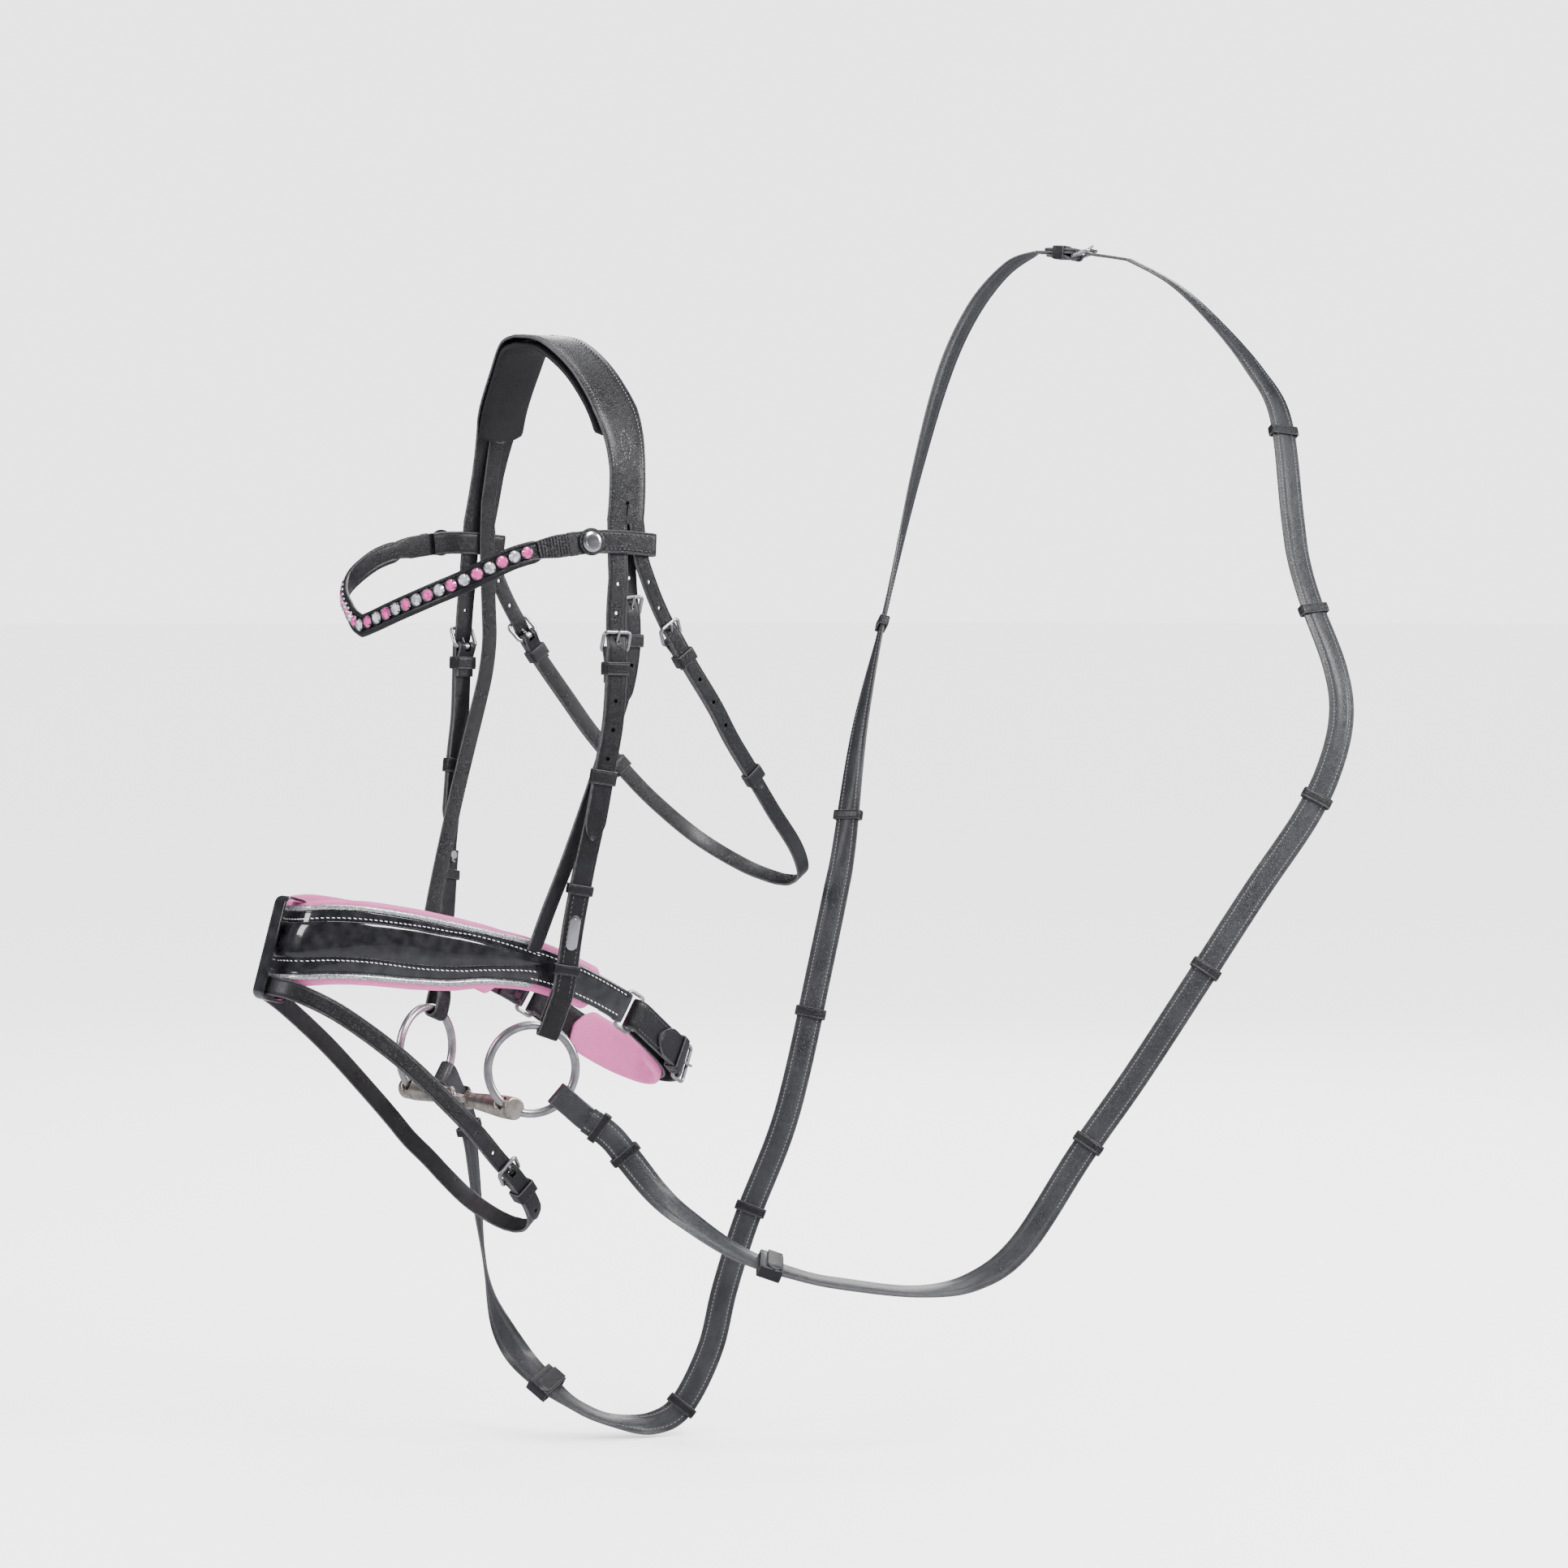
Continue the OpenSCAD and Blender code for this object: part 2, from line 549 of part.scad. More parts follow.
// ---- noseband ---------------------------------------------------------------------------
frame_l = 14;
nose_bar = 268;
function nose_width(s) = lookup(s, [[0, 58], [60, 57], [95, 55], [125, 50], [155, 40],
    [185, 35], [215, 32], [nose_bar, crank_w + 8]]);
function shell_width(s) = lookup(s, [[0, 44], [60, 43], [95, 41], [125, 37], [155, 29],
    [185, 25], [215, 23], [nose_bar - 12, crank_w], [nose_bar, crank_w]]);
function nose_run(from, to, step, lift) = layer(NOSE, from, to, [[0, lift]], step);
function width_list(n, to, kind) = [
    for (i = [0:n]) kind == "shell" ? shell_width(to * i / n) : nose_width(to * i / n)
];
module noseband_shell() {
    half = nose_run(0, nose_bar, 4, 0);
    n = len(half) - 1;
    end = concat(
        turn(lifted(frame_at(NOSE, nose_bar), -fold_r), fold_r, 1, 1),
        layer(NOSE, nose_bar, nose_bar - 18, [[nose_bar - 8, -shell_t - layer_gap],
            [nose_bar, -2 * fold_r]], 5));
    widths = concat(width_list(n, nose_bar, "shell"), [for (q = end) crank_w]);
    color(patent) strap(both_sides(concat(half, end)), both_ways(widths), shell_t);
}
module noseband_padding() {
    lift = -shell_t / 2 - 1.2 - nose_pad_t / 2;
    pad_end = nose_bar - 24;
    half = nose_run(0, pad_end, 4, lift);
    n = len(half) - 1;
    color(pink) strap(both_sides(half), both_ways(width_list(n, pad_end, "pad")),
        nose_pad_t);
}
trim_end = 190;
module noseband_raised() {
    height = 3.4;
    half = nose_run(0, trim_end, 4, shell_t / 2 + 0.5 + height / 2);
    n = len(half) - 1;
    widths = [for (i = [0:n]) lookup(i / n, [[0, raised_w], [0.6, raised_w], [0.85, 11], [1, 9]])];
    color(patent) strap(both_sides(half), both_ways(widths), height);
}
module noseband_piping() {
    color(steel) for (edge = [-1, 1]) {
        n = 48;
        half = [
            for (i = [0:n])
                let (s = trim_end * i / n, f = frame_at(NOSE, s))
                    [f[3] + f[0] * edge * (shell_width(s) + piping_d + 0.4) / 2
                        + f[2] * (piping_d / 2 - 0.8), f[0]]
        ];
        strap(both_sides(half), piping_d - 0.2, piping_d - 0.6);
    }
}
// Frames at the two ends of the noseband, each with a roller on its rear bar
NOSE_END = lifted(frame_at(NOSE, nose_bar), -fold_r);
ROLLER = [-NOSE_END[0], -NOSE_END[1], NOSE_END[2], NOSE_END[3] + NOSE_END[1] * frame_l];
module crank_frame() {
    color(steel) in_frame(NOSE_END) wire_frame(crank_w + 2 * bar_d - 3.2, frame_l);
}
module crank_roller() {
    color(steel) in_frame(ROLLER) rotate([0, 90, 0]) difference() {
        cylinder(d = roller_d, h = crank_w - 1, center = true);
        cylinder(r = bar_d / 2 + pin_fit, h = crank_w + 4, center = true);
    }
}
// Crank strap: its outer line runs from the far roller round the chin to the near one
wrap_r = roller_d / 2 + 0.6 + strap_t / 2;
chin_half = concat(
    [ROLLER[3] + ROLLER[2] * wrap_r - ROLLER[1] * 1],
    [for (q = nose_run(nose_bar + frame_l + 16, length_of(NOSE), 16, wrap_r - fold_r)) q[0]]
);
CRANK = route(concat([for (q = chin_half) flip(q)],
    [for (i = [len(chin_half) - 2:-1:0]) chin_half[i]]), -nose_down, -nose_down);
crank_end = length_of(CRANK);
crank_bar = crank_end - 66;
inner_lift = -2 * wrap_r;
module crank_strap() {
    far_roller = [-ROLLER[0].x, ROLLER[0].y, ROLLER[0].z];
    near_turn = turn(ROLLER, wrap_r, 1, 1);
    far_turn = [for (q = reversed(near_turn)) [flip(q[0]), flip(q[1])]];
    path = concat(
        fold(CRANK, crank_bar, 20),
        layer(CRANK, crank_bar, crank_end - 1),
        near_turn,
        layer(CRANK, crank_end - 3, 3, [[0, inner_lift]], 5),
        far_turn,
        billet(CRANK, 1, crank_bar, 44)
    );
    color(leather) difference() {
        strap(path, crank_w, strap_t, 14);
        tongue_slot(CRANK, crank_bar);
        tongue_hole(CRANK, crank_bar);
        punched(CRANK, crank_bar, [-3, -2, -1]);
    }
}
module chin_pad() {
    pad_t = 5;
    margin = 30;
    color(pink) strap(layer(CRANK, margin, crank_end - margin,
        [[0, inner_lift - strap_t / 2 - 0.7 - pad_t / 2]], 5), crank_w + 10, pad_t);
}

// ---- flash ----------------------------------------------------------------------------------
module flash_loop() {
    wall = 1.6;
    room = 1.8;
    f = frame_at(NOSE, 0);
    strap_at = FLASH[0][0] - f[3];
    top = -nose_width(0) / 2 - 1;
    bottom = strap_at * f[0] + flash_w / 2 + room;
    inner = -shell_t / 2 - nose_pad_t - 2.6;
    outer = strap_at * f[2] + strap_t / 2 + room;
    color(patent) on_route(NOSE, 0) translate([(top + bottom) / 2, 0, (inner + outer) / 2])
        difference() {
            cube([bottom - top + 2 * wall, 15, outer - inner + 2 * wall], center = true);
            cube([bottom - top, 17, outer - inner], center = true);
        }
}
module flash_strap() {
    end = length_of(FLASH);
    near = concat(fold(FLASH, flash_bar, 22), layer(FLASH, flash_bar, end));
    color(leather) difference() {
        strap(concat(near, mirrored(layer(FLASH, 0, end)), billet(FLASH, 6, flash_bar, 44)),
            flash_w, strap_t, 12);
        tongue_slot(FLASH, flash_bar);
        tongue_hole(FLASH, flash_bar);
        punched(FLASH, flash_bar, [-3, -2, -1, 2]);
    }
}

// ---- bit ------------------------------------------------------------------------------------
butt_angle = 211;
butt_p = on_ring(butt_angle);
eye_r = 5;
eye_wire = 4;
link_half = 8;
eye_x = link_half + eye_r;
module bit_ring() {
    color(steel) in_frame([ring_back, [0, 0, 1], ring_out, ring_c])
        rotate_extrude() translate([ring_r, 0]) circle(d = ring_wire);
}
module bit_arm() {
    hole_r = ring_wire / 2 + 2;
    wire = cos(butt_angle) * ring_back - sin(butt_angle) * [0, 0, 1];
    reach = butt_p.x - eye_x;
    color([0.72, 0.66, 0.52]) translate(butt_p) difference() {
        union() {
            translate([-8, 0, 0]) rotate([0, 90, 0]) cylinder(d = butt_d, h = 15.5);
            translate([-reach + eye_r, 0, 0]) rotate([0, 90, 0])
                cylinder(d1 = arm_d, d2 = butt_d, h = reach - eye_r - 7.9);
            translate([-reach, 0, 0]) rotate([90, 0, 0])
                rotate_extrude() translate([eye_r, 0]) circle(d = eye_wire);
        }
        in_frame([ring_out, unit(cross(wire, ring_out)), wire, [0, 0, 0]])
            cylinder(r = hole_r, h = 40, center = true);
    }
}
module bit_link() {
    rim = 1.8;
    hole_r = eye_wire / 2 + 1.3;
    color([0.72, 0.66, 0.52]) translate([0, butt_p.y, butt_p.z]) difference() {
        union() {
            for (x = [-1, 1]) translate([x * link_half, 0, -1.8])
                cylinder(r = hole_r + rim, h = 3.6);
            translate([-link_half, -4, -1.8]) cube([2 * link_half, 8, 3.6]);
        }
        for (x = [-1, 1]) translate([x * link_half, 0, -3]) cylinder(r = hole_r, h = 6);
    }
}

// ---- reins ----------------------------------------------------------------------------------
rein_loop_w = rein_w - 2;
function faced(points, faces) =
    let (p = curve(points, 4), n = curve(faces, 4), last = len(p) - 1) [
        for (i = [0:last])
            let (along = unit(p[min(i + 1, last)] - p[max(i - 1, 0)]))
                [p[i], cross(along, unit(n[i]))]
    ];
// Reins follow the bit when the head's sizes change, and stay put over the withers
function hung(points, pull) = [
    for (i = [0:len(points) - 1]) points[i] + pull * (1 - i / (len(points) - 1))
];
bit_pull = ring_c - [72, -56, -498];
LEFT_PATH = faced(hung(LEFT_REIN, bit_pull), LEFT_FACE);
RIGHT_PATH = faced(hung(RIGHT_REIN, flip(bit_pull)), RIGHT_FACE);
module rein(path) {
    n = len(path);
    edge = [[1, 0.5], [0.8, 1], [-0.8, 1], [-1, 0.5], [-1, -0.5], [-0.8, -1], [0.8, -1], [1, -0.5]];
    rings = [
        for (i = [0:n - 1])
            let (
                along = unit(path[min(i + 1, n - 1)][0] - path[max(i - 1, 0)][0]),
                out = unit(cross(path[i][1], along)),
                across = cross(along, out)
            )
            for (c = edge) path[i][0] + across * c.x * rein_w / 2 + out * c.y * rein_t / 2
    ];
    color(leather) skin(rings, n, 8);
}
// Frame at distance s along a rein
function rein_frame(path, s) =
    let (
        p = [for (q = path) q[0]],
        d = distances(p),
        at = [for (k = [0:2]) lookup(s, [for (i = [0:len(p) - 1]) [d[i], p[i][k]]])],
        w = [for (k = [0:2]) lookup(s, [for (i = [0:len(p) - 1]) [d[i], path[i][1][k]]])],
        next = [for (k = [0:2]) lookup(s + 3, [for (i = [0:len(p) - 1]) [d[i], p[i][k]]])],
        last = [for (k = [0:2]) lookup(s - 3, [for (i = [0:len(p) - 1]) [d[i], p[i][k]]])],
        along = unit(next - last),
        out = unit(cross(w, along))
    ) [cross(along, out), along, out, at];
module rein_stop(path, s, length, heights = [-rein_t / 2, rein_t / 2], room = 0.6) {
    wall = 1.3;
    thick = heights[1] - heights[0];
    color(leather) in_frame(lifted(rein_frame(path, s), (heights[0] + heights[1]) / 2)) difference() {
        cube([rein_w + 2 * (room + wall), length, thick + 2 * (room + wall)], center = true);
        cube([rein_w + 2 * room, length + 2, thick + 2 * room], center = true);
    }
}
left_first_stop = 440;
right_first_stop = 350;
left_martingale_stop = 165;
right_martingale_stop = 240;
module hand_stops() {
    for (i = [0:4]) rein_stop(LEFT_PATH, left_first_stop + i * stop_pitch, 7);
    for (i = [0:4]) rein_stop(RIGHT_PATH, right_first_stop + i * stop_pitch, 7);
}
module martingale_stops() {
    stop_room = 1.6;
    rein_stop(LEFT_PATH, left_martingale_stop, 17, room = stop_room);
    rein_stop(RIGHT_PATH, right_martingale_stop, 17, room = stop_room);
}
// Loop of rein leather round the ring, with its tail returned under the rein
REIN_LOOP = loop_frame(134, [0.47, 0.6, -0.64], 1.8);
rein_hug = ring_wire / 2 + 0.9 + strap_t / 2;
tail_under = rein_t / 2 + strap_t / 2 + 0.4;
tail_l = 46;
tail_keepers_on_rein = [10, 36];
module rein_loop(path) {
    right = path[0][0].x < 0;
    f = REIN_LOOP;
    start = rein_frame(path, 4);
    near = [start[0], start[1], start[2], path[0][0]];
    side = right ? [for (k = [0:2]) flip(f[k])] : f;
    middle = right ? flip(f[3]) : f[3];
    across = near[0] * side[0] > 0 ? side[0] : -side[0];
    around = [for (a = [0:20:180])
        [middle + side[2] * rein_hug * cos(a) - side[1] * rein_hug * sin(a), across]];
    tail = [
        for (d = [2:6:tail_l])
            let (q = rein_frame(path, d)) [q[3] - q[2] * tail_under, q[0]]
    ];
    color(leather) strap(concat(
        [[near[3] - near[1] * 0.2, near[0]], [near[3] - near[1] * 4, near[0]],
            [middle + side[2] * rein_hug + side[1] * 5, across]],
        around,
        [[middle - side[2] * rein_hug + side[1] * 5, across]],
        tail
    ), rein_loop_w, strap_t);
}
meet_w = 15;
module rein_keepers() {
    for (path = [LEFT_PATH, RIGHT_PATH])
        for (s = tail_keepers_on_rein)
            rein_stop(path, s, 6, [-tail_under - strap_t / 2, rein_t / 2]);
    fixed_keeper(MEET, meet_bar + 12, meet_w);
}
module rein_ends() {
    end = length_of(MEET);
    end_gap = 1.8;
    color(leather) difference() {
        union() {
            strap(concat(fold(MEET, meet_bar, 22), layer(MEET, meet_bar, end - end_gap)),
                meet_w, strap_t);
            strap(billet(MEET, end_gap, meet_bar, 26), meet_w, strap_t, 10);
        }
        tongue_slot(MEET, meet_bar);
        tongue_hole(MEET, meet_bar);
    }
}

// ---- what is drawn ----------------------------------------------------------------------------
crown_leather();
crown_padding();
sliphead();
hanger_strap();
buckle(HANGER, hanger_bar, hanger_w);  // hanger_buckle
tongue(HANGER, hanger_bar);  // hanger_tongue
browband();
crystal_settings();
crystals(1, pink);  // pink_crystals
crystals(0, "white");  // clear_crystals
browband_snaps();
cheekpiece();  // cheekpiece_left
far_side() cheekpiece();  // cheekpiece_right
buckle(CHEEK, cheek_bar, cheek_w);  // cheek_buckle_left
far_side() buckle(CHEEK, cheek_bar, cheek_w);  // cheek_buckle_right
tongue(CHEEK, cheek_bar);  // cheek_tongue_left
far_side() tongue(CHEEK, cheek_bar);  // cheek_tongue_right
cheek_runner();  // cheek_runner_left
far_side() cheek_runner();  // cheek_runner_right
keepers();  // fixed_keepers
each_side() nameplate();  // nameplates
each_side() cheek_stud();  // cheek_hook_studs
throatlash();
buckle(THROAT, throat_bar, throat_w);  // throat_buckle_left
far_side() buckle(THROAT, throat_bar, throat_w);  // throat_buckle_right
tongue(THROAT, throat_bar);  // throat_tongue_left
far_side() tongue(THROAT, throat_bar);  // throat_tongue_right
throat_runner();  // throat_runner_left
far_side() throat_runner();  // throat_runner_right
noseband_shell();
noseband_raised();
noseband_piping();
noseband_padding();
crank_frame();  // crank_frame_left
far_side() crank_frame();  // crank_frame_right
crank_roller();  // crank_roller_left
far_side() crank_roller();  // crank_roller_right
crank_strap();
buckle(CRANK, crank_bar, crank_w);  // crank_buckle
tongue(CRANK, crank_bar);  // crank_tongue
chin_pad();
flash_loop();
flash_strap();
buckle(FLASH, flash_bar, flash_w);  // flash_buckle
tongue(FLASH, flash_bar);  // flash_tongue
bit_ring();  // bit_ring_left
far_side() bit_ring();  // bit_ring_right
bit_arm();  // bit_arm_left
far_side() bit_arm();  // bit_arm_right
bit_link();
rein_loop(LEFT_PATH);  // rein_loop_left
rein_loop(RIGHT_PATH);  // rein_loop_right
rein(LEFT_PATH);  // rein_left
rein(RIGHT_PATH);  // rein_right
hand_stops();
martingale_stops();
rein_keepers();
rein_ends();
buckle(MEET, meet_bar, meet_w);  // rein_buckle
tongue(MEET, meet_bar);  // rein_tongue
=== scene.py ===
"""Looks of a padded snaffle bridle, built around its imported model.

Metres, +Z up, the face looks along -Y and +X is the near side. Straps are swept along the
same routes as their solids, so each piece lies where its node does.
"""
import math

import bmesh
import bpy
import numpy as np
from mathutils import Matrix, Vector


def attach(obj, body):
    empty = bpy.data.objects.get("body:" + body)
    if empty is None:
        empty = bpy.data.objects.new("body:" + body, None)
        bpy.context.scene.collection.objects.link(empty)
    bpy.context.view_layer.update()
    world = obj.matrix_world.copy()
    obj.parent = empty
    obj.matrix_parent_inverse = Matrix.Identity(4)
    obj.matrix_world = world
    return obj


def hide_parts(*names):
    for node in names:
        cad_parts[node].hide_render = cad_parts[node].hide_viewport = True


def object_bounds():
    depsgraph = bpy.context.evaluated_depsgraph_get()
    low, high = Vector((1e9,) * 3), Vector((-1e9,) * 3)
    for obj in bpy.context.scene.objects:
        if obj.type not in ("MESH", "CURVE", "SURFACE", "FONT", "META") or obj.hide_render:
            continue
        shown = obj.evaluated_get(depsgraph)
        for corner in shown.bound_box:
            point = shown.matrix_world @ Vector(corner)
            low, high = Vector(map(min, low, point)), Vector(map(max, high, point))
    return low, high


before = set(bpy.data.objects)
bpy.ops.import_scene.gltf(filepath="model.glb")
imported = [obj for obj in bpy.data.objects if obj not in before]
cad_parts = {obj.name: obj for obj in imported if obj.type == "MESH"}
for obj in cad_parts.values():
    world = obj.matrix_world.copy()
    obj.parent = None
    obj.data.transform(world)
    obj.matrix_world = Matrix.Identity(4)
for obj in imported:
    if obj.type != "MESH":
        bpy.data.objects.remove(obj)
cad_box = [list(v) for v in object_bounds()]

bl_info = {
    "name": "Snaffle bridle",
    "version": (1, 0, 0),
    "blender": (4, 5, 0),
    "location": "View3D > Sidebar > Bridle",
    "description": "Leather, stitching, crystals and metal of a snaffle bridle on its frame",
    "category": "Object",
}

# ---- sizes shared with the frame ------------------------------------------------------------
STRAP_T = 0.0022
LAYER_GAP = 0.00025
LAP = STRAP_T + LAYER_GAP
BAR_D = 0.0028
FOLD_R = BAR_D / 2 + 0.0003 + STRAP_T / 2
CHEEK_W = 0.015
THROAT_W = 0.012
HANGER_W = 0.012
FLASH_W = 0.013
CRANK_W = 0.022
CROWN_W = 0.036
CROWN_PAD_T = 0.0046
SLIPHEAD_T = STRAP_T - 0.0004
REIN_W = 0.019
REIN_T = 0.004
SLIT_AT = 0.18
CHEEK_BAR = 0.27
THROAT_BAR = 0.089
HANGER_BAR = 0.081
FLASH_BAR = 0.238
MEET_BAR = 0.044
NOSE_BAR = 0.268
KEEPER_WALL = 0.0014
SHELL_T = 0.0024
PIPING_D = 0.0036
NOSE_PAD_T = 0.005
RING_WIRE = 0.006
RING_R = 0.0305
RING_CENTRE = np.array([0.072, -0.056, -0.498])
RING_TURN = math.radians(22)
STONE_PITCH = 0.0092
STOP_PITCH = 0.15
STOPS_ON_REIN = 5
REIN_THIN_T = 0.0029
REIN_STITCH_LIFT = 0.00128
STONES_EACH_SIDE = 15

# ---- routes ---------------------------------------------------------------------------------
CHEEK = [
    (0, -.007, .008), (.025, -.002, .004), (.05, .005, -.013), (.072, .009, -.037), (.084, .011, -.059),
    (.092, .01, -.084), (.096, .007, -.11), (.098, .003, -.132), (.1, -.002, -.156),
    (.101, -.005, -.183), (.102, -.006, -.206), (.102, -.007, -.235), (.101, -.009, -.263),
    (.099, -.014, -.292), (.096, -.019, -.325), (.092, -.025, -.358), (.087, -.031, -.398),
    (.085, -.035, -.428), (.083, -.038, -.448),
]
THROAT = [
    (.0989, .013, -.122), (.0997, .016, -.146), (.0997, .021, -.16), (.099, .03, -.179),
    (.098, .042, -.199), (.097, .057, -.221), (.095, .079, -.25), (.091, .097, -.275),
    (.085, .121, -.303), (.077, .143, -.327), (.063, .172, -.354), (.038, .196, -.374),
    (.013, .206, -.382), (0, .207, -.383),
]
HANGER = [
    (.091, .009, -.106), (.093, .009, -.135), (.094, .01, -.16), (.0945, .011, -.182),
    (.0945, .0115, -.206), (.094, .008, -.23), (.093, .001, -.254), (.091, -.009, -.284),
    (.088, -.02, -.316), (.083, -.033, -.354), (.077, -.045, -.388), (.073, -.052, -.41),
    (.07, -.055, -.42),
]
BROW = [
    (0, -.146, -.193), (.014, -.144, -.189), (.03, -.139, -.183), (.046, -.133, -.177),
    (.062, -.124, -.17), (.076, -.113, -.163), (.085, -.099, -.155), (.091, -.083, -.147),
    (.095, -.066, -.142), (.0975, -.048, -.139), (.0993, -.023, -.136), (.1012, 0, -.136),
    (.1022, .012, -.137), (.1032, .024, -.138),
]
NOSE = [
    (0, -.21, -.408), (.02, -.206, -.407), (.034, -.19, -.406), (.044, -.165, -.408),
    (.054, -.116, -.416), (.061, -.085, -.42), (.066, -.051, -.427), (.069, -.019, -.439),
    (.069, .015, -.456), (.066, .037, -.47), (.061, .056, -.484), (.051, .075, -.497),
    (.034, .09, -.507), (.014, .098, -.512), (0, .099, -.513),
]
FLASH = [
    (0, -.2235, -.436), (.014, -.2215, -.4365), (.028, -.212, -.4405), (.041, -.186, -.456),
    (.052, -.147, -.487), (.058, -.111, -.522), (.06, -.091, -.543), (.06, -.077, -.559),
    (.058, -.063, -.573), (.054, -.05, -.588), (.044, -.038, -.603), (.026, -.03, -.613),
    (.008, -.027, -.617), (0, -.027, -.617),
]
LEFT_REIN = [
    (.0905, -.0225, -.5333), (.1, -.01, -.545), (.107, .001, -.561), (.116, .017, -.584),
    (.126, .033, -.601), (.145, .066, -.627), (.165, .103, -.643), (.18, .131, -.65),
    (.205, .176, -.656), (.222, .212, -.65), (.234, .245, -.626), (.244, .289, -.565),
    (.255, .33, -.511), (.268, .376, -.445), (.276, .421, -.385), (.283, .464, -.331),
    (.284, .486, -.294), (.279, .5, -.259), (.266, .505, -.225), (.24, .505, -.179),
    (.222, .509, -.148), (.206, .517, -.116), (.171, .536, -.043), (.139, .538, -.006),
    (.103, .531, .03), (.068, .52, .06), (.034, .504, .08),
]
RIGHT_REIN = [
    (-.0905, -.0225, -.5333), (-.099, -.011, -.546), (-.102, -.002, -.57), (-.097, 0, -.608),
    (-.084, -.002, -.65), (-.066, -.004, -.688), (-.042, .001, -.718), (-.018, .014, -.74),
    (-.004, .034, -.757), (.007, .055, -.766), (.018, .078, -.768), (.026, .098, -.756),
    (.031, .119, -.717), (.031, .132, -.674), (.032, .151, -.624), (.036, .177, -.566),
    (.035, .194, -.519), (.031, .215, -.451), (.026, .234, -.392), (.021, .245, -.36),
    (.006, .271, -.269), (-.01, .31, -.17), (-.03, .35, -.08), (-.046, .388, -.005),
    (-.054, .422, .044), (-.048, .45, .076), (-.032, .466, .088),
]
LEFT_FACE = [
    (.83, -.5, .14), (.83, -.5, .14), (.8, -.5, .3), (.7, -.4, .6), (.6, -.3, .8), (.4, -.2, .9),
    (.2, -.2, 1), (.2, -.2, 1), (.2, -.2, 1), (.4, -.4, .8), (.7, -.6, .6), (.8, -.6, .3),
    (.8, -.6, .2), (.8, -.6, .1), (.8, -.6, .1), (.8, -.6, .1), (.9, -.5, .1), (.9, -.4, .2),
    (.9, -.3, .3), (.9, -.2, .4), (.9, -.2, .5), (.8, -.2, .5), (.7, -.1, .6), (.6, 0, .7),
    (.4, .1, .8), (.2, .1, .9), (0, 0, 1),
]
RIGHT_FACE = [
    (-.83, -.5, .14), (-.83, -.5, .14), (-.85, -.5, 0), (-.8, -.6, 0), (-.6, -.7, .2),
    (-.4, -.6, .6), (-.2, -.5, .8), (0, -.4, .9), (.1, -.3, 1), (.2, -.3, .9), (.5, -.5, .6),
    (.8, -.6, .2), (.8, -.6, 0), (.8, -.6, 0), (.8, -.6, 0), (.8, -.6, 0), (.8, -.6, 0),
    (.8, -.6, 0), (.7, -.7, 0), (.5, -.8, 0), (0, -1, 0), (-.6, -.7, .2), (-.9, -.4, .3),
    (-.9, -.1, .4), (-.7, .1, .6), (-.4, .2, .9), (0, 0, 1),
]
MEET = [(.034, .504, .08), (.001, .485, .086), (-.032, .466, .088)]


# ---- vectors, curves and layers of leather --------------------------------------------------
def unit(v):
    v = np.asarray(v, float)
    return v / np.linalg.norm(v)


def flip(v):
    return np.array([-v[0], v[1], v[2]])


def smooth_line(points, n):
    """Catmull-Rom curve through the points, n steps to a span."""
    p = np.asarray(points, float)
    out = []
    for i in range(len(p) - 1):
        a, b, c, d = p[max(i - 1, 0)], p[i], p[i + 1], p[min(i + 2, len(p) - 1)]
        for t in np.arange(n) / n:
            out.append(0.5 * (2 * b + (c - a) * t + (2 * a - 5 * b + 4 * c - d) * t**2
                              + (3 * b - a - 3 * c + d) * t**3))
    return np.array(out + [p[-1]])


def distances(points):
    return np.concatenate([[0], np.cumsum(np.linalg.norm(np.diff(points, axis=0), axis=1))])


def lookup(x, table):
    keys, values = zip(*table)
    return np.interp(x, keys, values)


class Route:
    """Middle line of a strap, with the direction of its width at both ends."""

    def __init__(self, points, across_first, across_last, steps=12):
        self.points = smooth_line(points, steps)
        self.far = distances(self.points)
        self.length = self.far[-1]
        self.across = np.array(across_first, float), np.array(across_last, float)

    def point(self, s):
        return np.array([np.interp(s, self.far, self.points[:, k]) for k in range(3)])

    def frame(self, s):
        """[across, along, outward, point] at distance s."""
        middle = s < 0.0005 and self.points[0][0] == 0
        along = np.array([1.0, 0, 0]) if middle else unit(self.point(s + 0.001) - self.point(s - 0.001))
        hint = self.across[0] + (self.across[1] - self.across[0]) * s / self.length
        out = unit(np.cross(hint, along))
        return [np.cross(along, out), along, out, self.point(s)]


def lifted(f, lift):
    return [f[0], f[1], f[2], f[3] + f[2] * lift]


def layer(route, start, end, lifts=((0, 0),), step=0.0025, shifts=((0, 0),)):
    """Points of one layer of leather, each with its width direction."""
    n = max(1, math.ceil(abs(end - start) / step))
    path = []
    for s in np.linspace(start, end, n + 1):
        f = route.frame(s)
        path.append((f[3] + f[2] * lookup(s, lifts) + f[0] * lookup(s, shifts), f[0]))
    return path


def turn(f, radius, first, ahead):
    """Half turn of leather about the middle of frame f."""
    return [(f[3] + f[2] * first * radius * math.cos(a) + f[1] * ahead * radius * math.sin(a), f[0])
            for a in np.radians(np.arange(10, 180, 10))]


def fold(route, s, tail):
    """Leather folded round a bar at distance s, with its tail below."""
    below = layer(route, s + tail, s, [(s, -2 * FOLD_R), (s + 0.008, -LAP)])
    return below + turn(lifted(route.frame(s), -FOLD_R), FOLD_R, -1, -1)


def billet(route, start, bar, tip, shifts=((0, 0),)):
    """Strap that comes down the route, over the bar and on to its tip."""
    return (layer(route, start, bar - 0.012, shifts=shifts)
            + layer(route, bar - 0.0015, bar + tip, [(0, LAP)], shifts=shifts))


